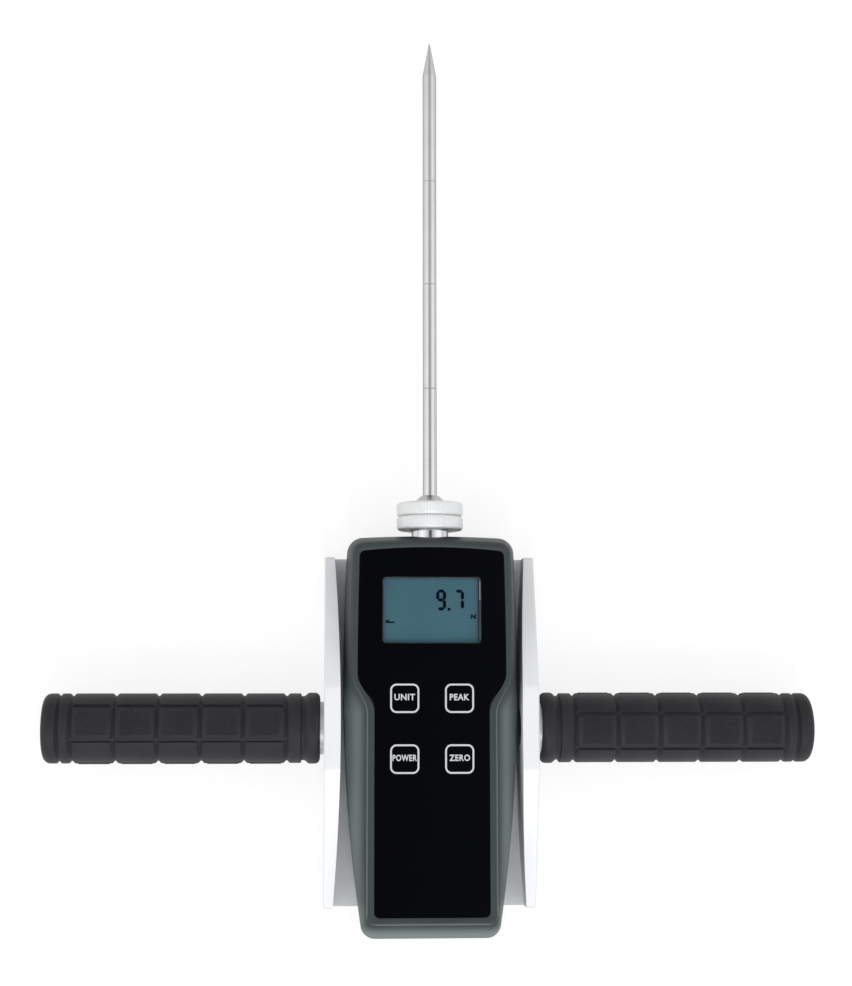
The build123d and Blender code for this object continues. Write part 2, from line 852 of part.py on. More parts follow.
with BuildPart() as lcd_panel:
    with BuildSketch(Plane.XY.offset(wall_under - lcd_thickness)):
        with Locations((0, window_centre_y)):
            Rectangle(lcd_width, lcd_length)
    extrude(amount=lcd_thickness)
lcd_panel.part.label = "lcd_panel"
export_step(lcd_panel.part, "parts/lcd_panel.step")

with BuildPart() as lcd_holder:
    frame_width = lcd_width + 2 * (lcd_frame_wall + lcd_clearance)
    frame_length = lcd_length + 2 * (lcd_frame_wall + lcd_clearance)
    with BuildSketch(Plane.XY.offset(board_front)):
        with Locations((0, window_centre_y)):
            Rectangle(frame_width, frame_length)
            Rectangle(lcd_width - 2 * lcd_ledge, lcd_length - 2 * lcd_ledge, mode=Mode.SUBTRACT)
    extrude(amount=wall_under - board_front)
    with BuildSketch(Plane.XY.offset(wall_under - lcd_thickness)):
        with Locations((0, window_centre_y)):
            Rectangle(lcd_width + 2 * lcd_clearance, lcd_length + 2 * lcd_clearance)
    extrude(amount=lcd_thickness, mode=Mode.SUBTRACT)
lcd_holder.part.label = "lcd_holder"
export_step(lcd_holder.part, "parts/lcd_holder.step")

with BuildPart() as main_board:
    with BuildSketch(Plane.XY.offset(board_front - board_thickness)):
        with Locations((0, (board_top + board_bottom) / 2)):
            RectangleRounded(
                2 * board_half_width, board_top - board_bottom, board_corner_radius
            )
        with Locations(board_screw_places):
            Circle(board_screw_diameter / 2 + screw_clearance, mode=Mode.SUBTRACT)
    extrude(amount=board_thickness)
    with BuildSketch(Plane.XY.offset(board_front - board_thickness)):
        with Locations((-chip_offset_x, chip_offset_y)):
            Rectangle(large_chip, large_chip)
        with Locations((chip_offset_x, chip_offset_y), (chip_offset_x, 2 * chip_offset_y)):
            Rectangle(small_chip_width, small_chip_length)
    extrude(amount=-chip_height)
main_board.part.label = "main_board"
export_step(main_board.part, "parts/main_board.step")

with BuildPart() as board_screws:
    board_rear = board_front - board_thickness
    with BuildSketch(Plane.XY.offset(board_rear)):
        with Locations(board_screw_places):
            Circle(board_screw_head_diameter / 2)
    extrude(amount=-board_screw_head_height)
    with BuildSketch(Plane.XY.offset(board_rear)):
        with Locations(board_screw_places):
            Circle(board_screw_diameter / 2)
    extrude(amount=wall_under - board_rear - screw_clearance)
board_screws.part.label = "board_screws"
export_step(board_screws.part, "parts/board_screws.step")

with BuildPart() as dome_sheet:
    with BuildSketch(Plane.XY.offset(board_front)):
        with Locations((0, key_row_centre)):
            RectangleRounded(
                key_spacing_x + key_size, key_spacing_y + key_size, key_corner_radius
            )
    extrude(amount=dome_sheet_thickness)
    for place in key_places:
        with Locations((*place, board_front + dome_sheet_thickness)):
            Cone(
                dome_diameter / 2, dome_diameter / 3, dome_height,
                align=(Align.CENTER, Align.CENTER, Align.MIN),
            )
dome_sheet.part.label = "dome_sheet"
export_step(dome_sheet.part, "parts/dome_sheet.step")

stem_bottom = board_front + dome_sheet_thickness + dome_height + key_travel + key_stem_gap
for name, place in zip(key_names, key_places):
    with BuildPart() as key:
        with BuildSketch(Plane.XY.offset(wall_under)):
            with Locations(place):
                RectangleRounded(key_size, key_size, key_corner_radius)
        extrude(amount=face_top - wall_under)
        with BuildSketch(Plane.XY.offset(wall_under - key_flange_thickness)):
            with Locations(place):
                RectangleRounded(
                    key_size + 2 * key_flange, key_size + 2 * key_flange, key_corner_radius
                )
        extrude(amount=key_flange_thickness)
        with BuildSketch(Plane.XY.offset(stem_bottom)):
            with Locations(place):
                Circle(key_stem_diameter / 2)
        extrude(amount=wall_under - key_flange_thickness - stem_bottom)
    key.part.label = name
    export_step(key.part, f"parts/{name}.step")


# Force path: load cell, its anchor and the sensing shaft

with BuildPart() as load_cell:
    with BuildSketch(Plane.XY.offset(axis_height - cell_thickness / 2)):
        with Locations((0, cell_middle)):
            Rectangle(cell_width, cell_length)
            Circle(cell_window_diameter / 2, mode=Mode.SUBTRACT)
        for side, y in ((1, cell_bottom + cell_slot_inset), (-1, cell_top - cell_slot_inset)):
            with Locations((side * (cell_width / 2 - cell_slot_reach / 2 + 1), y)):
                Rectangle(cell_slot_reach + 2, cell_slot, mode=Mode.SUBTRACT)
    extrude(amount=cell_thickness)
    with BuildSketch(needle_plane.offset(cell_top - shaft_screw_length)):
        Circle(shaft_screw_diameter / 2 + thread_clearance)
    extrude(amount=shaft_screw_length + 1, mode=Mode.SUBTRACT)
    with BuildSketch(needle_plane.offset(cell_bottom - 1)):
        Circle(anchor_screw_diameter / 2 + thread_clearance)
    extrude(amount=anchor_screw_bite + 1.5, mode=Mode.SUBTRACT)
load_cell.part.label = "load_cell"
export_step(load_cell.part, "parts/load_cell.step")

with BuildPart() as anchor_block:
    anchor_base = case_rear + case_wall
    anchor_height = axis_height + cell_thickness / 2 - anchor_base
    with BuildSketch(Plane.XY.offset(anchor_base)):
        with Locations((0, (anchor_bottom + anchor_top) / 2)):
            Rectangle(anchor_width, anchor_length)
    extrude(amount=anchor_height)
    with BuildSketch(Plane.XY.offset(anchor_base)):
        with Locations([(x, y + anchor_bottom) for x, y in mount_screw_places]):
            Circle(mount_screw_diameter / 2 + thread_clearance)
    extrude(amount=mount_screw_length - plate_thickness - case_wall + 1, mode=Mode.SUBTRACT)
    with BuildSketch(needle_plane.offset(anchor_bottom - 1)):
        Circle(anchor_screw_diameter / 2 + screw_clearance)
    extrude(amount=anchor_length + 2, mode=Mode.SUBTRACT)
    with BuildSketch(needle_plane.offset(anchor_bottom - 1)):
        Circle(anchor_screw_head_diameter / 2 + screw_clearance)
    extrude(amount=anchor_screw_head_height + 1, mode=Mode.SUBTRACT)
anchor_block.part.label = "anchor_block"
export_step(anchor_block.part, "parts/anchor_block.step")

with BuildPart() as load_cell_screw:
    with BuildSketch(needle_plane.offset(anchor_bottom)):
        Circle(anchor_screw_head_diameter / 2)
        RegularPolygon(anchor_screw_socket / 2, 6, mode=Mode.SUBTRACT)
    extrude(amount=anchor_screw_head_height)
    with BuildSketch(needle_plane.offset(anchor_bottom + anchor_screw_head_height / 2)):
        Circle(anchor_screw_diameter / 2)
    extrude(amount=anchor_length - anchor_screw_head_height / 2 + anchor_screw_bite)
load_cell_screw.part.label = "load_cell_screw"
export_step(load_cell_screw.part, "parts/load_cell_screw.step")

with BuildPart() as sensing_shaft:
    shaft_body_bottom = cell_top + shaft_travel + shaft_stop_gap
    shaft_bottom = shaft_body_bottom - shaft_screw_length
    neck_bottom = seal_housing_bottom - 1
    stud_top = neck_top + stud_length
    with BuildSketch(axis_sketch):
        Polygon(
            (0, shaft_bottom),
            (shaft_screw_diameter / 2, shaft_bottom),
            (shaft_screw_diameter / 2, shaft_body_bottom),
            (shaft_body_diameter / 2, shaft_body_bottom),
            (shaft_body_diameter / 2, neck_bottom),
            (neck_diameter / 2, neck_bottom),
            (neck_diameter / 2, neck_top),
            (stud_diameter / 2, neck_top),
            (stud_diameter / 2, stud_top - stud_chamfer),
            (stud_diameter / 2 - stud_chamfer, stud_top),
            (0, stud_top),
            align=None,
        )
    revolve(axis=axis_line)
sensing_shaft.part.label = "sensing_shaft"
export_step(sensing_shaft.part, "parts/sensing_shaft.step")

with BuildPart() as shaft_seal:
    with BuildSketch(needle_plane.offset(seal_start + thread_clearance)):
        Circle(neck_diameter / 2 + seal_depth)
        Circle(neck_diameter / 2 + seal_clearance, mode=Mode.SUBTRACT)
    extrude(amount=seal_width)
shaft_seal.part.label = "shaft_seal"
export_step(shaft_seal.part, "parts/shaft_seal.step")


# Lock ring and probe on the shaft's stud


def coupling_ring(bottom, bore_top):
    """One of the two stacked coupling rings, bored for the stud up to bore_top."""
    with BuildPart() as ring:
        with BuildSketch(needle_plane.offset(bottom)):
            Circle(ring_diameter / 2)
        extrude(amount=ring_thickness)
        chamfer(ring.edges().filter_by(GeomType.CIRCLE), ring_chamfer)
        with BuildSketch(needle_plane.offset(bottom - 1)):
            Circle(stud_diameter / 2 + thread_clearance)
        extrude(amount=bore_top - bottom + 1, mode=Mode.SUBTRACT)
    return ring.part


with BuildPart() as lock_ring:
    add(coupling_ring(lock_bottom, lock_top + 1))
lock_ring.part.label = "lock_ring"
export_step(lock_ring.part, "parts/lock_ring.step")

rod_bottom = head_top - rod_seat_depth
with BuildPart() as probe_head:
    add(coupling_ring(head_bottom, stud_top + stud_end_gap))
    with BuildSketch(needle_plane.offset(rod_bottom)):
        Circle(rod_diameter / 2 + thread_clearance)
    extrude(amount=rod_seat_depth + 1, mode=Mode.SUBTRACT)
probe_head.part.label = "probe_head"
export_step(probe_head.part, "parts/probe_head.step")

with BuildPart() as probe_collar:
    with BuildSketch(axis_sketch):
        Polygon(
            (rod_diameter / 2 + thread_clearance, head_top),
            (collar_lower_diameter / 2, head_top),
            (collar_upper_diameter / 2, collar_top),
            (rod_diameter / 2 + thread_clearance, collar_top),
            align=None,
        )
    revolve(axis=axis_line)
probe_collar.part.label = "probe_collar"
export_step(probe_collar.part, "parts/probe_collar.step")

with BuildPart() as probe_rod:
    cone_base = needle_tip - needle_cone_length
    rod_outline = [(0, rod_bottom), (rod_diameter / 2, rod_bottom)]
    for i in range(needle_mark_count):
        mark = needle_first_mark + i * needle_mark_spacing
        rod_outline += [
            (rod_diameter / 2, mark - needle_mark_width / 2),
            (rod_diameter / 2 - needle_mark_depth, mark),
            (rod_diameter / 2, mark + needle_mark_width / 2),
        ]
    rod_outline += [
        (rod_diameter / 2, cone_base), (needle_point_radius, needle_tip), (0, needle_tip)
    ]
    with BuildSketch(axis_sketch):
        Polygon(*rod_outline, align=None)
    revolve(axis=axis_line)
probe_rod.part.label = "probe_rod"
export_step(probe_rod.part, "parts/probe_rod.step")


# Battery door, cells and contacts

with BuildPart() as battery_door:
    door_length = door_end - case_bottom
    door_middle = (door_end + case_bottom) / 2
    with BuildSketch(Plane.XY.offset(case_rear)):
        with Locations((0, door_middle)):
            Rectangle(2 * bay_half_width, door_length)
    extrude(amount=door_thickness)
    with BuildSketch(Plane.XY.offset(tongue_floor)):
        with Locations((0, door_middle)):
            Rectangle(2 * (bay_half_width + door_tongue), door_length)
    extrude(amount=door_tongue_thickness)
    door_toe = battery_door.edges().filter_by(Axis.X).group_by(Axis.Y)[0].sort_by(Axis.Z)[0]
    chamfer(door_toe, door_toe_chamfer)
    with BuildSketch(Plane.XY.offset(case_rear)):
        for i in range(door_grip_count):
            with Locations((0, case_bottom + door_grip_inset + i * door_grip_pitch)):
                Rectangle(door_grip_width, door_grip_pitch / 2)
    extrude(amount=door_grip_depth, mode=Mode.SUBTRACT)
battery_door.part.label = "battery_door"
export_step(battery_door.part, "parts/battery_door.step")

with BuildPart() as batteries:
    for i, x in enumerate(battery_centres):
        way = 1 if i % 2 == 0 else -1
        start = -bay_length / 2 + contact_thickness + contact_spring_length
        shoulder = start + battery_length - battery_nub
        with BuildSketch(Plane((x, bay_middle, battery_height), x_dir=(way, 0, 0), z_dir=(0, 0, 1))):
            Polygon(
                (0, start), (battery_diameter / 2, start), (battery_diameter / 2, shoulder),
                (battery_nub_diameter / 2, shoulder),
                (battery_nub_diameter / 2, shoulder + battery_nub), (0, shoulder + battery_nub),
                align=None,
            )
        revolve(axis=Axis((x, bay_middle, battery_height), (0, 1, 0)))
batteries.part.label = "batteries"
export_step(batteries.part, "parts/batteries.step")

with BuildPart() as battery_contacts:
    for i, x in enumerate(battery_centres):
        way = 1 if i % 2 == 0 else -1
        for end in (1, -1):
            spring_end = end != way
            plate_place = Plane(
                (x, bay_middle + end * bay_length / 2, battery_height),
                x_dir=(1, 0, 0), z_dir=(0, -end, 0),
            )
            with BuildSketch(plate_place):
                Rectangle(contact_width, contact_width)
            extrude(amount=contact_thickness)
            if spring_end:
                with Locations(plate_place.offset(contact_thickness)):
                    Cone(
                        contact_spring_diameter / 2, contact_spring_diameter / 4,
                        contact_spring_length - thread_clearance,
                        align=(Align.CENTER, Align.CENTER, Align.MIN),
                    )
battery_contacts.part.label = "battery_contacts"
export_step(battery_contacts.part, "parts/battery_contacts.step")
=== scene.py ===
import logging
import math
from dataclasses import dataclass, field
from enum import Enum
from typing import Callable, Sequence

import bmesh
import bpy
from mathutils import Matrix, Vector


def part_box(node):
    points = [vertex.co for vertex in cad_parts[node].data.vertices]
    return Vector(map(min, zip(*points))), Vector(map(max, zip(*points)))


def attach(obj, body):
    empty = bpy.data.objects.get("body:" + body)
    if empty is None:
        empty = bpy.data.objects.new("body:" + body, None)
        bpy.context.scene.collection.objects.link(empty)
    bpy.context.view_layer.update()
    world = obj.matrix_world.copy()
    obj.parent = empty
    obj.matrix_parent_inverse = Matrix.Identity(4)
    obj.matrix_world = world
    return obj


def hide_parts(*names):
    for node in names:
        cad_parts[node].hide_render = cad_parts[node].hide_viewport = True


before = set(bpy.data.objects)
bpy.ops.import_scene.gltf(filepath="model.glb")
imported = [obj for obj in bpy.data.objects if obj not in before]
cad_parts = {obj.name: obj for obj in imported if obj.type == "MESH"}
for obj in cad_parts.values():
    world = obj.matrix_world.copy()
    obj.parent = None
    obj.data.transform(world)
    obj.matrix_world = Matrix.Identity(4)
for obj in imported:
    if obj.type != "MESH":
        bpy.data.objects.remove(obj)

log = logging.getLogger("penetrometer")
MM = 0.001
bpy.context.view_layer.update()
Point = tuple[float, float, float]


class Side(Enum):
    """The two sides of the instrument, with the sign of X on each."""

    LEFT = -1
    RIGHT = 1


class Grain(Enum):
    """How the fine relief of a finish runs."""

    SPECKLE = "speckle"
    TURNED = "turned"
    DRAWN = "drawn"
    CLOUDY = "cloudy"


@dataclass(frozen=True)
class Finish:
    """A surface finish with a fine relief, a mottled colour and an uneven gloss."""

    name: str
    colour: tuple[float, float, float]
    shade: tuple[float, float, float]
    roughness: float
    roughness_spread: float = 0.08
    metallic: float = 0.0
    grain: Grain = Grain.SPECKLE
    grain_scale: float = 900.0
    relief: float = 0.02
    edge: tuple[float, float, float] = (1.0, 1.0, 1.0)
    specular: float = 0.5
    coat: float = 0.0
    # How much lighter the colour is painted where an attribute marks a painted highlight.
    painted_highlight_gain: float = 1.0

    def material(self) -> bpy.types.Material:
        """Return the finish as a material, made once and then shared.

        Returns:
            The procedural material.
        """
        found = bpy.data.materials.get(self.name)
        if found:
            return found
        mat = bpy.data.materials.new(self.name)
        mat.use_nodes = True
        nodes, links = mat.node_tree.nodes, mat.node_tree.links
        shader = nodes["Principled BSDF"]
        shader.inputs["Metallic"].default_value = self.metallic
        shader.inputs["Specular IOR Level"].default_value = self.specular
        shader.inputs["Specular Tint"].default_value = (*self.edge, 1.0)
        shader.inputs["Coat Weight"].default_value = self.coat
        shader.inputs["Coat Roughness"].default_value = 0.05
        place = nodes.new("ShaderNodeTexCoord").outputs["Object"]
        stretch = nodes.new("ShaderNodeMapping")
        links.new(place, stretch.inputs["Vector"])
        if self.grain is Grain.TURNED:
            stretch.inputs["Scale"].default_value = (0.04, 1.0, 0.04)
        elif self.grain is Grain.DRAWN:
            stretch.inputs["Scale"].default_value = (1.0, 0.05, 1.0)
        fine = nodes.new("ShaderNodeTexNoise")
        fine.inputs["Scale"].default_value = self.grain_scale
        fine.inputs["Detail"].default_value = 3.0
        links.new(stretch.outputs["Vector"], fine.inputs["Vector"])
        broad = nodes.new("ShaderNodeTexNoise")
        broad.inputs["Scale"].default_value = 38.0 if self.grain is Grain.CLOUDY else 90.0
        broad.inputs["Detail"].default_value = 4.0
        links.new(place, broad.inputs["Vector"])
        blend = nodes.new("ShaderNodeMix")
        blend.data_type = "RGBA"
        blend.inputs["A"].default_value = (*self.colour, 1.0)
        blend.inputs["B"].default_value = (*self.shade, 1.0)
        mottle = nodes.new("ShaderNodeMapRange")
        mottle.inputs["From Min"].default_value = 0.35
        mottle.inputs["From Max"].default_value = 0.75
        links.new(broad.outputs["Fac"], mottle.inputs["Value"])
        links.new(mottle.outputs["Result"], blend.inputs["Factor"])
        paint = blend.outputs["Result"]
        # Painted highlight: the colour is lightened where the piece's attribute marks it.
        if self.painted_highlight_gain != 1.0:
            wear = nodes.new("ShaderNodeAttribute")
            wear.attribute_name = "wear"
            lighter = nodes.new("ShaderNodeMix")
            lighter.data_type = "RGBA"
            lighter.inputs["B"].default_value = (*(c * self.painted_highlight_gain for c in self.colour), 1.0)
            links.new(wear.outputs["Fac"], lighter.inputs["Factor"])
            links.new(paint, lighter.inputs["A"])
            paint = lighter.outputs["Result"]
        links.new(paint, shader.inputs["Base Color"])
        gloss = nodes.new("ShaderNodeMapRange")
        gloss.inputs["To Min"].default_value = self.roughness - self.roughness_spread
        gloss.inputs["To Max"].default_value = self.roughness + self.roughness_spread
        links.new(fine.outputs["Fac"], gloss.inputs["Value"])
        links.new(gloss.outputs["Result"], shader.inputs["Roughness"])
        bump = nodes.new("ShaderNodeBump")
        bump.inputs["Strength"].default_value = 0.6
        bump.inputs["Distance"].default_value = self.relief * MM
        links.new(fine.outputs["Fac"], bump.inputs["Height"])
        links.new(bump.outputs["Normal"], shader.inputs["Normal"])
        return mat


@dataclass(frozen=True)
class ClearFinish:
    """A clear moulded window with a little haze."""

    name: str
    tint: tuple[float, float, float]
    roughness: float

    def material(self) -> bpy.types.Material:
        """Return the clear finish as a material, made once and then shared.

        Returns:
            The material, which lets light straight through and mirrors at a slant.
        """
        found = bpy.data.materials.get(self.name)
        if found:
            return found
        mat = bpy.data.materials.new(self.name)
        mat.use_nodes = True
        nodes, links = mat.node_tree.nodes, mat.node_tree.links
        shader = nodes["Principled BSDF"]
        shader.inputs["Base Color"].default_value = (*self.tint, 1.0)
        shader.inputs["Roughness"].default_value = self.roughness
        shader.inputs["Transmission Weight"].default_value = 1.0
        shader.inputs["IOR"].default_value = 1.1
        place = nodes.new("ShaderNodeTexCoord").outputs["Object"]
        haze = nodes.new("ShaderNodeTexNoise")
        haze.inputs["Scale"].default_value = 160.0
        links.new(place, haze.inputs["Vector"])
        bump = nodes.new("ShaderNodeBump")
        bump.inputs["Strength"].default_value = 0.1
        bump.inputs["Distance"].default_value = 0.01 * MM
        links.new(haze.outputs["Fac"], bump.inputs["Height"])
        links.new(bump.outputs["Normal"], shader.inputs["Normal"])
        return mat


# The case's colour is painted lighter on the front shell's flanks, foot and rim edge: painted highlight.
CASE_PLASTIC = Finish(
    "case_plastic", (0.052, 0.062, 0.062), (0.044, 0.053, 0.053), 0.44,
    grain_scale=1500.0, relief=0.03, specular=0.22, painted_highlight_gain=3.3,
)
FACE_GLOSS = Finish(
    "face_gloss", (0.0008, 0.0011, 0.0024), (0.0006, 0.0008, 0.0018), 0.07,
    roughness_spread=0.02, grain_scale=60.0, relief=0.003, specular=0.4,
)
BRACKET_SATIN = Finish(
    "bracket_satin", (0.93, 0.94, 0.96), (0.90, 0.91, 0.93), 0.46,
    metallic=0.1, grain=Grain.DRAWN, grain_scale=2600.0, relief=0.012,
)
GRIP_RUBBER = Finish(
    "grip_rubber", (0.020, 0.020, 0.023), (0.015, 0.015, 0.018), 0.55,
    grain_scale=1300.0, relief=0.04, specular=0.34,
)
PROBE_STEEL = Finish(
    "needle_polish", (0.68, 0.68, 0.68), (0.64, 0.64, 0.64), 0.25,
    roughness_spread=0.03, metallic=1.0, edge=(0.0, 0.0, 0.0), grain=Grain.TURNED,
    grain_scale=5200.0, relief=0.002,
)
RING_STEEL = Finish(
    "ring_steel", (0.90, 0.905, 0.91), (0.86, 0.865, 0.87), 0.40,
    metallic=0.25, grain=Grain.TURNED, grain_scale=2600.0, relief=0.01,
)
NECK_CHROME = Finish(
    "neck_chrome", (0.74, 0.74, 0.75), (0.68, 0.68, 0.69), 0.16,
    metallic=1.0, edge=(0.05, 0.05, 0.06), grain=Grain.TURNED, grain_scale=3000.0, relief=0.004,
)
COLLAR_STEEL = Finish(
    "collar_polish", (0.50, 0.50, 0.51), (0.42, 0.42, 0.43), 0.30,
    metallic=0.9, grain=Grain.TURNED, grain_scale=2600.0, relief=0.02,
)
SCREW_STEEL = Finish(
    "screw_zinc", (0.40, 0.40, 0.41), (0.34, 0.34, 0.35), 0.32,
    metallic=1.0, grain_scale=1800.0, relief=0.01,
)
TUBE_STEEL = Finish(
    "tube_zinc", (0.55, 0.55, 0.56), (0.48, 0.48, 0.49), 0.36,
    metallic=1.0, grain_scale=1400.0, relief=0.01,
)
CELL_METAL = Finish(
    "cell_metal", (0.62, 0.63, 0.65), (0.55, 0.56, 0.58), 0.40,
    metallic=1.0, grain_scale=1800.0, relief=0.01,
)
HOLDER_PLASTIC = Finish(
    "holder_plastic", (0.55, 0.55, 0.53), (0.48, 0.48, 0.46), 0.50, grain_scale=900.0,
)
BEZEL_PLASTIC = Finish(
    "bezel_plastic", (0.070, 0.105, 0.115), (0.055, 0.085, 0.095), 0.40, grain_scale=900.0,
)
BOARD_LACQUER = Finish(
    "board_lacquer", (0.012, 0.085, 0.030), (0.010, 0.065, 0.024), 0.36, grain_scale=600.0,
)
DOME_SILICONE = Finish(
    "dome_silicone", (0.30, 0.30, 0.30), (0.25, 0.25, 0.25), 0.60, grain_scale=700.0,
)
CELL_WRAP = Finish(
    "cell_wrap", (0.06, 0.065, 0.075), (0.05, 0.05, 0.06), 0.30, grain_scale=300.0, coat=0.3,
)
CONTACT_PLATE = Finish(
    "contact_plate", (0.55, 0.55, 0.50), (0.48, 0.48, 0.44), 0.28, metallic=1.0,
)
LCD_GLASS = Finish(
    "lcd_glass", (0.082, 0.185, 0.225), (0.068, 0.160, 0.205), 0.35,
    grain=Grain.CLOUDY, grain_scale=1200.0, relief=0.002, specular=0.2,
)
# Painted shade: a darker band and a dark line down the display's right side.
LCD_SIDE_SHADE = Finish(
    "lcd_edge", (0.105, 0.135, 0.175), (0.090, 0.118, 0.155), 0.40, grain_scale=900.0,
    relief=0.002, specular=0.2,
)
LCD_SHADE_LINE = Finish(
    "lcd_seam", (0.028, 0.040, 0.058), (0.022, 0.032, 0.048), 0.40, grain_scale=900.0,
    relief=0.002, specular=0.2,
)
LCD_INK = Finish(
    "lcd_ink", (0.0018, 0.0028, 0.014), (0.0014, 0.0022, 0.011), 0.45, grain_scale=900.0,
    relief=0.002, specular=0.1,
)
PRINT_WHITE = Finish(
    "print_white", (0.68, 0.70, 0.73), (0.62, 0.64, 0.67), 0.45, grain_scale=2400.0,
    relief=0.004, specular=0.3,
)
WINDOW_CLEAR = ClearFinish("window_clear", (0.93, 0.96, 0.97), 0.02)


def new_object(name: str, mesh: bpy.types.Mesh) -> bpy.types.Object:
    """Put a mesh in the scene as an object at the origin.

    Args:
        name: The piece's name.
        mesh: Its mesh, with its place already in it.

    Returns:
        The new object.
    """
    obj = bpy.data.objects.new(name, mesh)
    bpy.context.scene.collection.objects.link(obj)
    return obj


def mesh_piece(
    name: str, points: Sequence[Sequence[float]], faces: Sequence[Sequence[int]],
    smooth_angle: float = 32.0,
) -> bpy.types.Object:
    """Make a piece from points in millimetres, with its faces turned outwards.

    Args:
        name: The piece's name.
        points: Corner points in millimetres.
        faces: Lists of point numbers.
        smooth_angle: Edges flatter than this are shaded smooth, in degrees.

    Returns:
        The piece.
    """
    mesh = bpy.data.meshes.new(name)
    mesh.from_pydata([tuple(c * MM for c in p) for p in points], [], [tuple(f) for f in faces])
    shape = bmesh.new()
    shape.from_mesh(mesh)
    bmesh.ops.remove_doubles(shape, verts=shape.verts, dist=1e-7)
    bmesh.ops.recalc_face_normals(shape, faces=shape.faces)
    shape.to_mesh(mesh)
    shape.free()
    obj = new_object(name, mesh)
    smooth(obj, smooth_angle)
    return obj


def smooth(obj: bpy.types.Object, angle: float) -> None:
    """Shade a piece smooth, with its sharper edges kept.

    Args:
        obj: The piece.
        angle: The largest angle across a smooth edge, in degrees.
    """
    mesh = obj.data
    mesh.polygons.foreach_set("use_smooth", [True] * len(mesh.polygons))
    shape = bmesh.new()
    shape.from_mesh(mesh)
    limit = math.radians(angle)
    for edge in shape.edges:
        edge.smooth = edge.calc_face_angle(math.pi) < limit
    shape.to_mesh(mesh)
    shape.free()


def dress(obj: bpy.types.Object, finish: Finish | ClearFinish) -> bpy.types.Object:
    """Give a piece one finish.

    Args:
        obj: The piece.
        finish: The finish it takes.

    Returns:
        The same piece.
    """
    obj.data.materials.clear()
    obj.data.materials.append(finish.material())
    return obj


def dress_node(node: str, finish: Finish | ClearFinish) -> None:
    """Give a solid of the frame a finish and leave its mesh as it is.

    Args:
        node: The node's name.
        finish: The finish it takes.
    """
    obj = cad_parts[node]
    for number in range(max(1, len(obj.material_slots))):
        if number < len(obj.material_slots):
            obj.material_slots[number].material = finish.material()
        else:
            obj.data.materials.append(finish.material())


def flat_print(
    name: str, outline_groups: Sequence[tuple[Sequence[tuple[float, float]], ...]],
    z: float, thickness: float = 0.02,
) -> bpy.types.Object:
    """Make a thin printed layer from closed outlines, with holes where they nest.

    Args:
        name: The piece's name.
        outline_groups: Groups of outlines in millimetres, an outer one and its holes.
        z: The height of its underside, in millimetres.
        thickness: The thickness of the ink, in millimetres.

    Returns:
        The piece.
    """
    curve = bpy.data.curves.new(name, "CURVE")
    curve.dimensions = "2D"
    curve.fill_mode = "BOTH"
    curve.extrude = thickness * MM / 2
    for group in outline_groups:
        for outline in group:
            spline = curve.splines.new("POLY")
            spline.points.add(len(outline) - 1)
            for point, (x, y) in zip(spline.points, outline):
                point.co = (x * MM, y * MM, 0.0, 1.0)
            spline.use_cyclic_u = True
    holder = bpy.data.objects.new(name + "_outline", curve)
    bpy.context.scene.collection.objects.link(holder)
    bpy.context.view_layer.update()
    mesh = bpy.data.meshes.new_from_object(
        holder.evaluated_get(bpy.context.evaluated_depsgraph_get())
    )
    bpy.data.objects.remove(holder)
    mesh.transform(Matrix.Translation((0.0, 0.0, (z + thickness / 2) * MM)))
    mesh.name = name
    return new_object(name, mesh)


def rounded_box(
    centre: tuple[float, float], width: float, height: float, radius: float, steps: int = 6
) -> list[tuple[float, float]]:
    """Return the outline of a rectangle with round corners.

    Args:
        centre: Its centre, in millimetres.
        width: Its width.
        height: Its height.
        radius: The radius of its corners.
        steps: How many straight pieces each corner has.

    Returns:
        The points of the outline, in order.
    """
    points = []
    corners = ((1, 1, 0.0), (-1, 1, 90.0), (-1, -1, 180.0), (1, -1, 270.0))
    for sx, sy, start in corners:
        for step in range(steps + 1):
            turn = math.radians(start + 90.0 * step / steps)
            points.append((
                centre[0] + sx * (width / 2 - radius) + radius * math.cos(turn),
                centre[1] + sy * (height / 2 - radius) + radius * math.sin(turn),
            ))
    return points


def lathe(
    name: str, profile: Sequence[tuple[float, float]], centre: Point, axis: str,
    segments: int = 96, smooth_angle: float = 32.0,
) -> bpy.types.Object:
    """Turn a closed profile about the X axis or the Y axis.

    Args:
        name: The piece's name.
        profile: Points along the axis and out from it, in millimetres.
        centre: A point on the axis.
        axis: "X" or "Y".
        segments: How many sides the turned piece has.
        smooth_angle: Edges flatter than this are shaded smooth, in degrees.

    Returns:
        The piece.
    """
    points, faces = [], []
    for number in range(segments):
        turn = 2 * math.pi * number / segments
        for along, out in profile:
            a, b = out * math.cos(turn), out * math.sin(turn)
            place = (along, a, b) if axis == "X" else (a, along, b)
            points.append(tuple(c + p for c, p in zip(centre, place)))
    count = len(profile)
    for number in range(segments):
        here, there = number * count, (number + 1) % segments * count
        for step in range(count):
            after = (step + 1) % count
            faces.append((here + step, here + after, there + after, there + step))
    return mesh_piece(name, points, faces, smooth_angle)


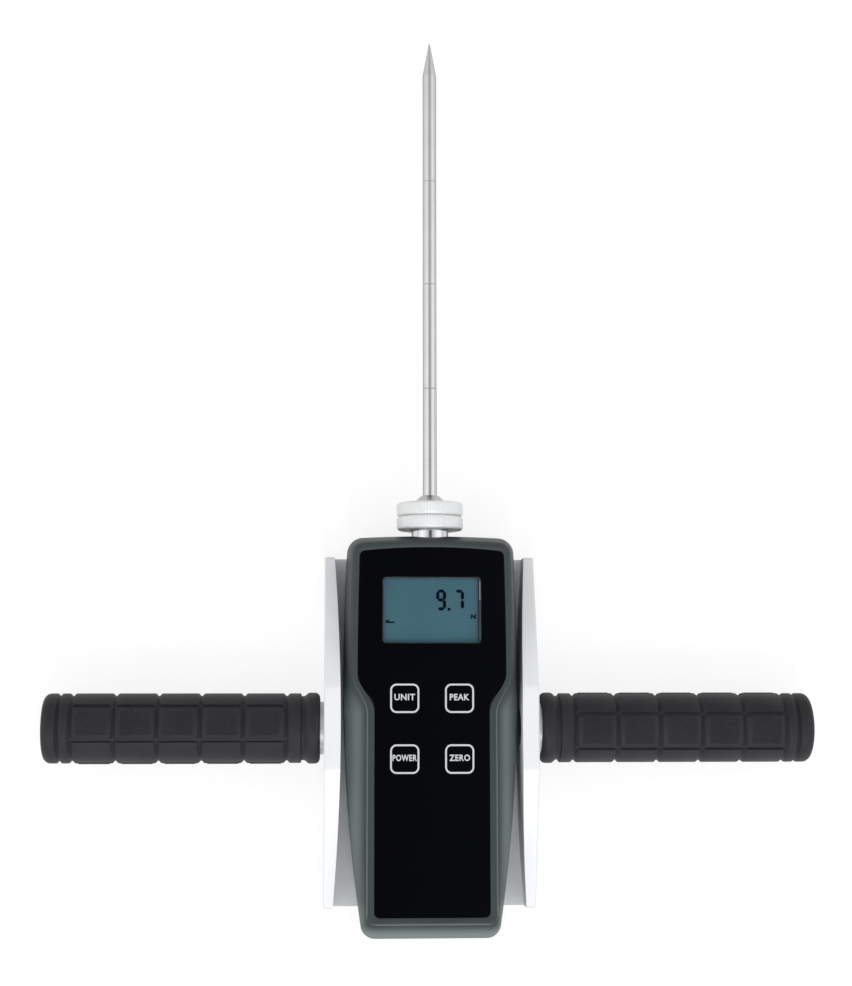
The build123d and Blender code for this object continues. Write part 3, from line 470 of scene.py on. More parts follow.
class NodeTree:
    """A Geometry Nodes tree, built in code, that turns an object into a plain mesh."""

    def __init__(self, name: str) -> None:
        """Start a tree with a geometry input and output.

        Args:
            name: The tree's name.
        """
        self.tree = bpy.data.node_groups.new(name, "GeometryNodeTree")
        self.tree.interface.new_socket("Geometry", in_out="OUTPUT",
                                       socket_type="NodeSocketGeometry")
        self.tree.interface.new_socket("Geometry", in_out="INPUT",
                                       socket_type="NodeSocketGeometry")
        self.start = self.tree.nodes.new("NodeGroupInput")
        self.end = self.tree.nodes.new("NodeGroupOutput")
        self.keys: dict[str, str] = {}

    def input(self, name: str, kind: str) -> bpy.types.NodeSocket:
        """Add a named input.

        Args:
            name: The input's name.
            kind: The socket type, such as NodeSocketFloat.

        Returns:
            The socket that gives the input's value inside the tree.
        """
        socket = self.tree.interface.new_socket(name, in_out="INPUT", socket_type=kind)
        self.keys[name] = socket.identifier
        return self.start.outputs[name]

    def node(self, kind: str, **links: object) -> bpy.types.Node:
        """Add a node and set or link its inputs.

        Args:
            kind: The node's type.
            **links: Input names, with spaces as underscores, and their values or sockets.

        Returns:
            The node.
        """
        made = self.tree.nodes.new(kind)
        for key, value in links.items():
            self.feed(made.inputs[key.replace("_", " ")], value)
        return made

    def feed(self, socket: bpy.types.NodeSocket, value: object) -> None:
        """Link a socket to another, or set its value.

        Args:
            socket: The input socket.
            value: A socket or a plain value.
        """
        if isinstance(value, bpy.types.NodeSocket):
            self.tree.links.new(value, socket)
        else:
            socket.default_value = value

    def math(
        self, operation: str, a: object, b: object = 0.0, c: object = 0.0
    ) -> bpy.types.NodeSocket:
        """Add a Math node.

        Args:
            operation: The operation's name.
            a: The first value.
            b: The second value.
            c: The third value, for the operations that take one.

        Returns:
            The result.
        """
        made = self.tree.nodes.new("ShaderNodeMath")
        made.operation = operation
        self.feed(made.inputs[0], a)
        self.feed(made.inputs[1], b)
        self.feed(made.inputs[2], c)
        return made.outputs[0]

    def finish(self, geometry: bpy.types.NodeSocket, finish: Finish) -> None:
        """End the tree: instances become real and take one finish.

        Args:
            geometry: The geometry so far.
            finish: The finish of all of it.
        """
        real = self.node("GeometryNodeRealizeInstances", Geometry=geometry)
        paint = self.node(
            "GeometryNodeSetMaterial", Geometry=real.outputs[0], Material=finish.material()
        )
        self.tree.links.new(paint.outputs[0], self.end.inputs[0])

    def bake(self, name: str, base: bpy.types.Mesh, **values: object) -> bpy.types.Object:
        """Run the tree on a mesh and keep the result as a plain mesh.

        Args:
            name: The new piece's name.
            base: The mesh that the tree starts from.
            **values: The values of the named inputs, with spaces as underscores.

        Returns:
            The piece.
        """
        holder = new_object(name + "_base", base)
        modifier = holder.modifiers.new("shape", "NODES")
        modifier.node_group = self.tree
        for key, value in values.items():
            modifier[self.keys[key.replace("_", " ")]] = value
        bpy.context.view_layer.update()
        done = bpy.data.meshes.new_from_object(
            holder.evaluated_get(bpy.context.evaluated_depsgraph_get())
        )
        holder.modifiers.clear()
        bpy.data.objects.remove(holder)
        done.name = name
        return new_object(name, done)


def point_mesh(
    name: str, places: Sequence[Point], directions: Sequence[Point]
) -> bpy.types.Mesh:
    """Make a mesh of loose points, each with a direction, for a tree to build on.

    Args:
        name: The mesh's name.
        places: The points, in millimetres.
        directions: The way that each point's copy looks.

    Returns:
        The mesh, with the directions in the attribute "way".
    """
    mesh = bpy.data.meshes.new(name)
    mesh.from_pydata([tuple(c * MM for c in p) for p in places], [], [])
    way = mesh.attributes.new("way", "FLOAT_VECTOR", "POINT")
    way.data.foreach_set("vector", [c for d in directions for c in d])
    return mesh


@dataclass
class Outline:
    """An outline that is alike left and right, given by its half width at each height."""

    half_width: Callable[[float], float]
    top: float
    top_corner: float
    bottom: float
    radius: float
    foot_radius: float

    def right_half(self, inset: float) -> list[tuple[float, float]]:
        """Return the right half, from the middle of the top to the middle of the foot.

        Args:
            inset: How far the outline is drawn in.

        Returns:
            Points that match those of any other outline, one to one.
        """
        top, corner = self.top - inset, self.top_corner - inset
        foot = self.bottom + inset
        radius = max(0.4, self.radius - inset * 0.6)
        heel = max(0.4, self.foot_radius - inset * 0.6)

        def width(y: float) -> float:
            return self.half_width(y) - inset

        points = []
        edge = width(corner)
        for step in range(14):
            x = (edge - radius) * step / 14
            points.append((x, top - (top - corner) * (x / edge) ** 2))
        rise = top - (top - corner) * ((edge - radius) / edge) ** 2
        for step in range(9):
            turn = math.pi / 2 * step / 8
            y = rise - radius * (1 - math.cos(turn))
            points.append((width(y) - radius * (1 - math.sin(turn)), y))
        high, low = points[-1][1], foot + heel
        for step in range(1, 60):
            y = high + (low - high) * step / 60
            points.append((width(y), y))
        for step in range(9):
            turn = math.pi / 2 * step / 8
            y = foot + heel * (1 - math.sin(turn))
            points.append((width(y) - heel * (1 - math.cos(turn)), y))
        last = points[-1][0]
        for step in range(1, 13):
            points.append((last * (1 - step / 12), foot))
        return points

    def loop(self, inset: float) -> list[tuple[float, float]]:
        """Return the whole outline as a closed loop.

        Args:
            inset: How far the outline is drawn in.

        Returns:
            The points, from the middle of the top round by the right.
        """
        right = self.right_half(inset)
        left = [(-x, y) for x, y in reversed(right[1:-1])]
        return right + left


@dataclass
class GaugeCase:
    """The moulded case: front shell with its rim, rear shell and battery door."""

    widest: float = 39.9
    widest_at: float = 22.0
    upper_radius: float = 1200.0
    lower_radius: float = 760.0
    rim_upper: float = 36.4
    rim_lower: float = 29.6
    step_top: float = 24.5
    step_bottom: float = 6.5
    parting: float = 23.0
    slope_start: float = 29.0
    front: float = 40.0
    wall: float = 2.2
    overlay_inset: float = 3.0
    floor: float = 38.8
    under: float = 37.0
    shaft_hole: float = 9.0
    fullness: float = 1.6
    # Reach and strength of the painted highlight on the flanks, the foot and the rim's outer edge.
    highlight_reach: float = 5.0
    edge_highlight: float = 0.75

    def case_width(self, y: float) -> float:
        """Return the half width of the case at a height."""
        radius = self.upper_radius if y > self.widest_at else self.lower_radius
        return self.widest - radius + math.sqrt(radius ** 2 - (y - self.widest_at) ** 2)

    def stepped_width(self, y: float, upper: float, lower: float, low_step: float) -> float:
        """Return the half width of an outline that steps in below the display.

        Args:
            y: The height.
            upper: The half width beside the display.
            lower: The half width beside the keys.
            low_step: Where the step ends.

        Returns:
            The half width at that height.
        """
        if y >= self.step_top:
            return upper - 0.9 * ((y - self.step_top) / 58.0) ** 2
        if y <= low_step:
            return lower
        share = (self.step_top - y) / (self.step_top - low_step)
        return upper + (lower - upper) * share * share * (3 - 2 * share)

    def outlines(self) -> tuple[Outline, Outline, Outline]:
        """Return the outlines of the case, its rim and its face panel."""
        case = Outline(self.case_width, 88.0, 86.8, -94.3, 7.0, 5.5)
        rim = Outline(
            lambda y: self.stepped_width(y, self.rim_upper, self.rim_lower, self.step_bottom),
            84.6, 82.8, -87.2, 4.5, 4.5,
        )
        panel = Outline(
            lambda y: self.stepped_width(y, 33.6, 25.9, self.step_bottom + 1.0),
            81.8, 80.0, -83.8, 2.5, 2.5,
        )
        return case, rim, panel

    def front_shell(self) -> bpy.types.Object:
        """Build the front shell as one closed ring of quads round the face.

        Returns:
            The piece, which replaces the plain shell.
        """
        case, rim, panel = self.outlines()
        rings: list[list[Point]] = []

        def level(outline: Outline, inset: float, z: float) -> None:
            rings.append([(x, y, z) for x, y in outline.loop(inset)])

        level(case, 0.25, self.parting + 0.02)
        level(case, 0.0, self.parting + 0.3)
        level(case, 0.0, self.slope_start - 1.2)
        low, high = case.loop(0.0), rim.loop(0.0)
        steps = 16
        for step in range(1, steps):
            share = step / steps
            z = self.slope_start - 1.0 + (self.front - 1.1 - self.slope_start + 1.0) * (
                1 - (1 - share) ** self.fullness
            )
            rings.append([
                (a[0] + (b[0] - a[0]) * share, a[1] + (b[1] - a[1]) * share, z)
                for a, b in zip(low, high)
            ])
        level(rim, 0.0, self.front - 1.05)
        for inset, drop in ((0.03, 0.75), (0.16, 0.4), (0.42, 0.14), (0.85, 0.0), (1.5, 0.02)):
            level(rim, inset, self.front - drop)
        level(panel, -0.45, self.front - 0.25)
        level(panel, -0.2, self.front - 0.45)
        level(panel, -0.15, self.floor)
        level(panel, 4.0, self.floor)
        level(panel, 4.0, self.under)
        level(rim, self.wall, self.under - 0.5)
        level(case, self.wall, self.slope_start - 1.0)
        level(case, self.wall, self.parting + 0.02)
        count = len(rings[0])
        points = [p for ring in rings for p in ring]
        faces = []
        for number in range(len(rings)):
            here, there = number * count, (number + 1) % len(rings) * count
            for step in range(count):
                after = (step + 1) % count
                faces.append((here + step, here + after, there + after, there + step))
        shell = mesh_piece("front_shell_moulding", points, faces, 38.0)
        self.cut_shaft_hole(shell)
        # Paint highlights into the shell's colour.
        self.paint_highlights(shell)
        dress(shell, CASE_PLASTIC)
        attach(shell, "gauge")
        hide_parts("front_shell")
        return shell

    def paint_highlights(self, shell: bpy.types.Object) -> None:
        """Paint the flanks, the foot and the rim's outer edge of the shell lighter: a painted highlight where
        light falls on them.

        Args:
            shell: The front shell.
        """
        _, rim, _ = self.outlines()
        wear = shell.data.attributes.new("wear", "FLOAT", "POINT")
        for vertex, mark in zip(shell.data.vertices, wear.data):
            x, y, z = (c / MM for c in vertex.co)
            outside = max(abs(x) - rim.half_width(y), rim.bottom - y)
            reach = min(1.0, max(0.0, outside / self.highlight_reach))
            low = min(1.0, max(0.0, (self.step_top - y) / (self.step_top - self.step_bottom)))
            # Painted highlight along the rim's outer edge.
            edge = self.edge_highlight if abs(outside + 0.2) < 0.3 and z > self.front - 0.9 else 0.0
            rise = min(1.0, max(0.0, (z - self.parting) / (self.slope_start - self.parting)))
            mark.value = max(edge, reach * reach * (3 - 2 * reach)) * low * rise

    def cut_shaft_hole(self, shell: bpy.types.Object) -> None:
        """Cut the half hole for the shaft's neck out of the top wall.

        Args:
            shell: The front shell.
        """
        cutter = lathe(
            "shaft_cutter",
            [(70.0, 0.01), (95.0, 0.01), (95.0, self.shaft_hole), (70.0, self.shaft_hole)],
            (0.0, 0.0, self.parting), "Y", 64,
        )
        cut = shell.modifiers.new("hole", "BOOLEAN")
        cut.object = cutter
        cut.solver = "EXACT"
        bpy.context.view_layer.update()
        mesh = bpy.data.meshes.new_from_object(
            shell.evaluated_get(bpy.context.evaluated_depsgraph_get())
        )
        shell.modifiers.clear()
        shell.data = mesh
        bpy.data.objects.remove(cutter)
        smooth(shell, 38.0)

    def window_frame(self) -> bpy.types.Object:
        """Build the bezel that frames the display, below its window.

        Returns:
            The piece.
        """
        centre = (0.0, 53.3)
        bezel = flat_print(
            "window_bezel",
            [(rounded_box(centre, 50.0, 35.0, 1.0), rounded_box((centre[0] + 0.25, centre[1]), 43.9, 28.6, 1.4))],
            self.under + 0.05, 0.85,
        )
        dress(bezel, BEZEL_PLASTIC)
        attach(bezel, "gauge")
        return bezel

    def build(self) -> list[bpy.types.Object]:
        """Build and dress the case.

        Returns:
            The new pieces.
        """
        for node in ("rear_shell", "battery_door"):
            dress_node(node, CASE_PLASTIC)
        dress_node("batteries", CELL_WRAP)
        dress_node("battery_contacts", CONTACT_PLATE)
        dress_node("case_screws", SCREW_STEEL)
        return [self.front_shell(), self.window_frame()]


@dataclass
class FacePanel:
    """The glossy face with its display and its four labelled keys."""

    key_size: float = 13.3
    frame_line: float = 0.8
    frame_radius: float = 2.9
    key_top: float = 39.6
    pitch_x: float = 24.8
    pitch_y: float = 27.2
    row_centre: float = -0.2
    label_height: float = 2.9
    label_weight: float = 0.028
    label_rise: float = 0.55
    label_widths: tuple[float, ...] = (9.4, 8.9, 11.0, 9.4)
    labels: tuple[str, ...] = ("UNIT", "PEAK", "POWER", "ZERO")
    digit_height: float = 9.6
    digit_width: float = 4.6
    digit_stroke: float = 1.5

    def word(
        self, name: str, text: str, centre: tuple[float, float], size: tuple[float, float],
        z: float, thickness: float, weight: float,
    ) -> bpy.types.Object:
        """Set a word in bold capitals, drawn to a given width and height.

        Args:
            name: The piece's name.
            text: The word, in capitals.
            centre: Its centre, in millimetres.
            size: Its width and height, in millimetres.
            z: The height of its underside.
            thickness: The thickness of the ink.
            weight: How much its strokes are thickened, as a share of its height.

        Returns:
            The piece.
        """
        curve = bpy.data.curves.new(name, "FONT")
        curve.body = text
        curve.offset = weight
        curve.space_character = 1.1
        curve.resolution_u = 3
        curve.extrude = 0.5
        holder = bpy.data.objects.new(name + "_text", curve)
        bpy.context.scene.collection.objects.link(holder)
        bpy.context.view_layer.update()
        mesh = bpy.data.meshes.new_from_object(
            holder.evaluated_get(bpy.context.evaluated_depsgraph_get())
        )
        bpy.data.objects.remove(holder)
        xs = [v.co.x for v in mesh.vertices]
        ys = [v.co.y for v in mesh.vertices]
        wide = size[0] / (max(xs) - min(xs))
        tall = size[1] / (max(ys) - min(ys))
        middle = ((max(xs) + min(xs)) / 2, (max(ys) + min(ys)) / 2)
        for vertex in mesh.vertices:
            vertex.co = Vector((
                (centre[0] + (vertex.co.x - middle[0]) * wide) * MM,
                (centre[1] + (vertex.co.y - middle[1]) * tall) * MM,
                (z + thickness * (vertex.co.z + 0.5)) * MM,
            ))
        shape = bmesh.new()
        shape.from_mesh(mesh)
        bmesh.ops.remove_doubles(shape, verts=shape.verts, dist=1e-7)
        bmesh.ops.recalc_face_normals(shape, faces=shape.faces)
        shape.to_mesh(mesh)
        shape.free()
        mesh.name = name
        return new_object(name, mesh)

    def bars_piece(
        self, name: str, groups: Sequence[tuple[list[tuple[float, float]], ...]], z: float,
        thickness: float,
    ) -> bpy.types.Object:
        """Make thin printed bars, each a closed block, from their outlines.

        Args:
            name: The piece's name.
            groups: One outline for each bar.
            z: The height of the underside.
            thickness: The thickness of the ink.

        Returns:
            The piece.
        """
        points, faces = [], []
        for number, (outline,) in enumerate(groups):
            lift = thickness + 0.0005 * number
            start, count = len(points), len(outline)
            points += [(x, y, z) for x, y in outline]
            points += [(x, y, z + lift) for x, y in outline]
            faces.append(tuple(range(start, start + count)))
            faces.append(tuple(range(start + count, start + 2 * count)))
            for step in range(count):
                after = (step + 1) % count
                faces.append((
                    start + step, start + after, start + count + after, start + count + step
                ))
        mesh = bpy.data.meshes.new(name)
        mesh.from_pydata([tuple(c * MM for c in p) for p in points], [], faces)
        shape = bmesh.new()
        shape.from_mesh(mesh)
        bmesh.ops.recalc_face_normals(shape, faces=shape.faces)
        shape.to_mesh(mesh)
        shape.free()
        return new_object(name, mesh)

    def key_prints(self) -> list[bpy.types.Object]:
        """Print the frame and the label on each key.

        Returns:
            The printed pieces, two for each key.
        """
        pieces = []
        places = [(x, y) for y in (1, -1) for x in (-1, 1)]
        for label, width, (sx, sy) in zip(self.labels, self.label_widths, places):
            body = "key_" + label.lower()
            centre = (sx * self.pitch_x / 2, self.row_centre + sy * self.pitch_y / 2)
            outer = self.key_size - 0.15
            inner = outer - 2 * self.frame_line
            ring = flat_print(
                f"{body}_frame",
                [(rounded_box(centre, outer, outer, self.frame_radius, 10),
                  rounded_box(centre, inner, inner, self.frame_radius - self.frame_line, 10))],
                self.key_top,
            )
            word = self.word(
                f"{body}_label", label, (centre[0], centre[1] + self.label_rise),
                (width, self.label_height), self.key_top, 0.02, self.label_weight,
            )
            for piece in (ring, word):
                dress(piece, PRINT_WHITE)
                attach(piece, body)
                pieces.append(piece)
        return pieces

    def segment(
        self, a: tuple[float, float], b: tuple[float, float]
    ) -> list[tuple[float, float]]:
        """Return one pointed segment of a digit.

        Args:
            a: Its start.
            b: Its end.

        Returns:
            Its six corners.
        """
        along = Vector((b[0] - a[0], b[1] - a[1]))
        along.normalize()
        half = self.digit_stroke / 2
        side = Vector((-along.y, along.x)) * half
        start = Vector(a) + along * 0.04
        end = Vector(b) - along * 0.04
        corners = [
            start, start + along * half + side, end - along * half + side,
            end, end - along * half - side, start + along * half - side,
        ]
        return [(c.x, c.y) for c in corners]

    def digit(self, shown: str, left: float, low: float) -> list[tuple]:
        """Return the lit segments of a digit.

        Args:
            shown: Letters a to g for the segments that are lit.
            left: Its left edge.
            low: Its lower edge.

        Returns:
            One outline for each lit segment.
        """
        half = self.digit_stroke / 2
        x0, x1 = left + half, left + self.digit_width - half
        y0, y2 = low + half, low + self.digit_height - half
        y1 = (y0 + y2) / 2
        ends = {
            "a": ((x0, y2), (x1, y2)), "b": ((x1, y1), (x1, y2)), "c": ((x1, y0), (x1, y1)),
            "d": ((x0, y0), (x1, y0)), "e": ((x0, y0), (x0, y1)), "f": ((x0, y1), (x0, y2)),
            "g": ((x0, y1), (x1, y1)),
        }
        return [(self.segment(*ends[key]),) for key in shown]

    def display(self) -> list[bpy.types.Object]:
        """Show a reading of two digits and the unit letter on the display, with painted shade and a stand-in
        reflection down its right side.

        Returns:
            The dark segments, the unit letter, the painted shade band and line, and the metal strip that stands
            in for a reflection.
        """
        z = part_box("lcd_panel")[1].z / MM
        groups = self.digit("abcdfg", 2.0, 53.2)
        groups += self.digit("abc", 10.2, 53.2)
        groups.append((rounded_box((7.9, 53.8), 1.3, 1.3, 0.2, 2),))
        groups.append((rounded_box((-18.9, 47.8), 4.2, 0.7, 0.1, 2),))
        groups.append((rounded_box((-20.1, 48.5), 1.7, 0.6, 0.1, 2),))
        reading = self.bars_piece("lcd_reading", groups, z + 0.03, 0.05)
        # Painted shade: a darker band with a dark line inside it, down the display's right side.
        edge = self.bars_piece(
            "lcd_side_edge", [(rounded_box((21.3, 53.3), 1.9, 28.4, 0.2, 2),)], z + 0.06, 0.1
        )
        shade_line = self.bars_piece(
            "lcd_side_seam", [(rounded_box((21.3, 53.3), 0.45, 28.4, 0.1, 2),)], z + 0.2, 0.1
        )
        # Painted reflection: a thin metal strip set where a reflection runs along the display's right edge.
        glint_strip = self.bars_piece(
            "lcd_side_foil", [(rounded_box((22.0, 62.3), 0.5, 8.6, 0.15, 2),)], z + 0.4, 0.2
        )
        for piece, finish in ((edge, LCD_SIDE_SHADE), (shade_line, LCD_SHADE_LINE), (glint_strip, CELL_METAL)):
            dress(piece, finish)
            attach(piece, "gauge")
        unit = self.word("lcd_unit", "N", (19.0, 50.4), (2.3, 2.2), z + 0.03, 0.05, 0.06)
        for piece in (reading, unit):
            dress(piece, LCD_INK)
            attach(piece, "gauge")
        return [reading, unit, edge, shade_line, glint_strip]

    def build(self) -> list[bpy.types.Object]:
        """Build and dress the face.

        Returns:
            The new pieces.
        """
        dress_node("face_overlay", FACE_GLOSS)
        dress_node("display_window", WINDOW_CLEAR)
        dress_node("lcd_panel", LCD_GLASS)
        dress_node("lcd_holder", HOLDER_PLASTIC)
        dress_node("main_board", BOARD_LACQUER)
        dress_node("board_screws", SCREW_STEEL)
        dress_node("dome_sheet", DOME_SILICONE)
        for label in self.labels:
            dress_node("key_" + label.lower(), FACE_GLOSS)
        return self.key_prints() + self.display()


@dataclass
class ScrewSet:
    """A set of like countersunk screws with hexagon sockets."""

    name: str
    node: str
    head_radius: float
    shank_radius: float
    length: float
    socket: float
    places: list[Point]
    ways: list[Point]
    sides: int = 24

    def one_screw(self) -> bpy.types.Object:
        """Build one screw, its head's flat face at the origin and its point below.

        Returns:
            The screw, which the tree copies to every place.
        """
        head, shank, chamfer = self.head_radius, self.shank_radius, 0.15

        def hexagon(turn: float) -> float:
            """Return how far out a hexagon's side lies at a turn."""
            sixth = math.pi / 3
            return self.socket / 2 / math.cos((turn + sixth / 2) % sixth - sixth / 2)

        levels: list[tuple[float, Callable[[float], float]]] = [
            (-head * 0.5, hexagon), (-chamfer, hexagon),
            (0.0, lambda turn: hexagon(turn) + chamfer), (0.0, lambda turn: head - chamfer),
            (-chamfer, lambda turn: head), (-chamfer * 2, lambda turn: head),
            (-chamfer * 2 - head + shank, lambda turn: shank),
            (-self.length, lambda turn: shank),
        ]
        points, faces = [], []
        for z, reach in levels:
            for step in range(self.sides):
                turn = 2 * math.pi * step / self.sides
                points.append((reach(turn) * math.cos(turn), reach(turn) * math.sin(turn), z))
        for number in range(len(levels) - 1):
            for step in range(self.sides):
                here = number * self.sides + step
                there = number * self.sides + (step + 1) % self.sides
                faces.append((here, there, there + self.sides, here + self.sides))
        last = (len(levels) - 1) * self.sides
        faces.append(tuple(range(self.sides)))
        faces.append(tuple(range(last, last + self.sides)))
        return mesh_piece(self.name + "_one", points, faces, 30.0)

    def build(self) -> list[bpy.types.Object]:
        """Set a copy of the screw at each place.

        Returns:
            The set as one piece.
        """
        screw = self.one_screw()
        tree = NodeTree(self.name + "_tree")
        pattern = tree.input("Screw", "NodeSocketObject")
        size = tree.input("Size", "NodeSocketFloat")
        info = tree.node("GeometryNodeObjectInfo", Object=pattern)
        way = tree.node("GeometryNodeInputNamedAttribute", Name="way")
        way.data_type = "FLOAT_VECTOR"
        turn = tree.node("FunctionNodeAlignEulerToVector", Vector=way.outputs[0])
        turn.axis = "Z"
        placed = tree.node(
            "GeometryNodeInstanceOnPoints", Points=tree.start.outputs[0],
            Instance=info.outputs["Geometry"], Rotation=turn.outputs[0], Scale=size,
        )
        tree.finish(placed.outputs[0], SCREW_STEEL)
        points = point_mesh(self.name + "_points", self.places, self.ways)
        screws = tree.bake(self.name, points, Screw=screw, Size=1.0)
        bpy.data.objects.remove(screw)
        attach(screws, "gauge")
        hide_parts(self.node)
        return [screws]


@dataclass
class Bracket:
    """The aluminium bracket: back plate, cheeks and their screws."""

    cheek_face: float = 48.8
    plate_middle: float = 3.0
    screw_rows: tuple[float, ...] = (-63.0, -21.0, 21.0, 63.0)
    mount_columns: tuple[float, ...] = (-11.0, 11.0)

    def build(self) -> list[bpy.types.Object]:
        """Dress the bracket and set its screws.

        Returns:
            The new pieces.
        """
        for node in ("back_plate", "cheek_left", "cheek_right"):
            dress_node(node, BRACKET_SATIN)
        for node in ("load_cell", "anchor_block"):
            dress_node(node, CELL_METAL)
        dress_node("load_cell_screw", SCREW_STEEL)
        sides = [(side.value, y) for side in Side for y in self.screw_rows]
        cheek = ScrewSet(
            "cheek_screw_heads", "cheek_screws", 3.0, 1.5, 16.0, 2.0,
            [(sign * self.cheek_face, y, self.plate_middle) for sign, y in sides],
            [(float(sign), 0.0, 0.0) for sign, _ in sides],
        )
        low, high = (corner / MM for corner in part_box("case_mount_screws"))
        rows = (low.y + 4.0, high.y - 4.0)
        spots = [(x, y, low.z) for x in self.mount_columns for y in rows]
        mount = ScrewSet(
            "mount_screw_heads", "case_mount_screws", 4.0, 2.0, high.z - low.z, 2.5,
            spots, [(0.0, 0.0, -1.0)] * len(spots),
        )
        return cheek.build() + mount.build()


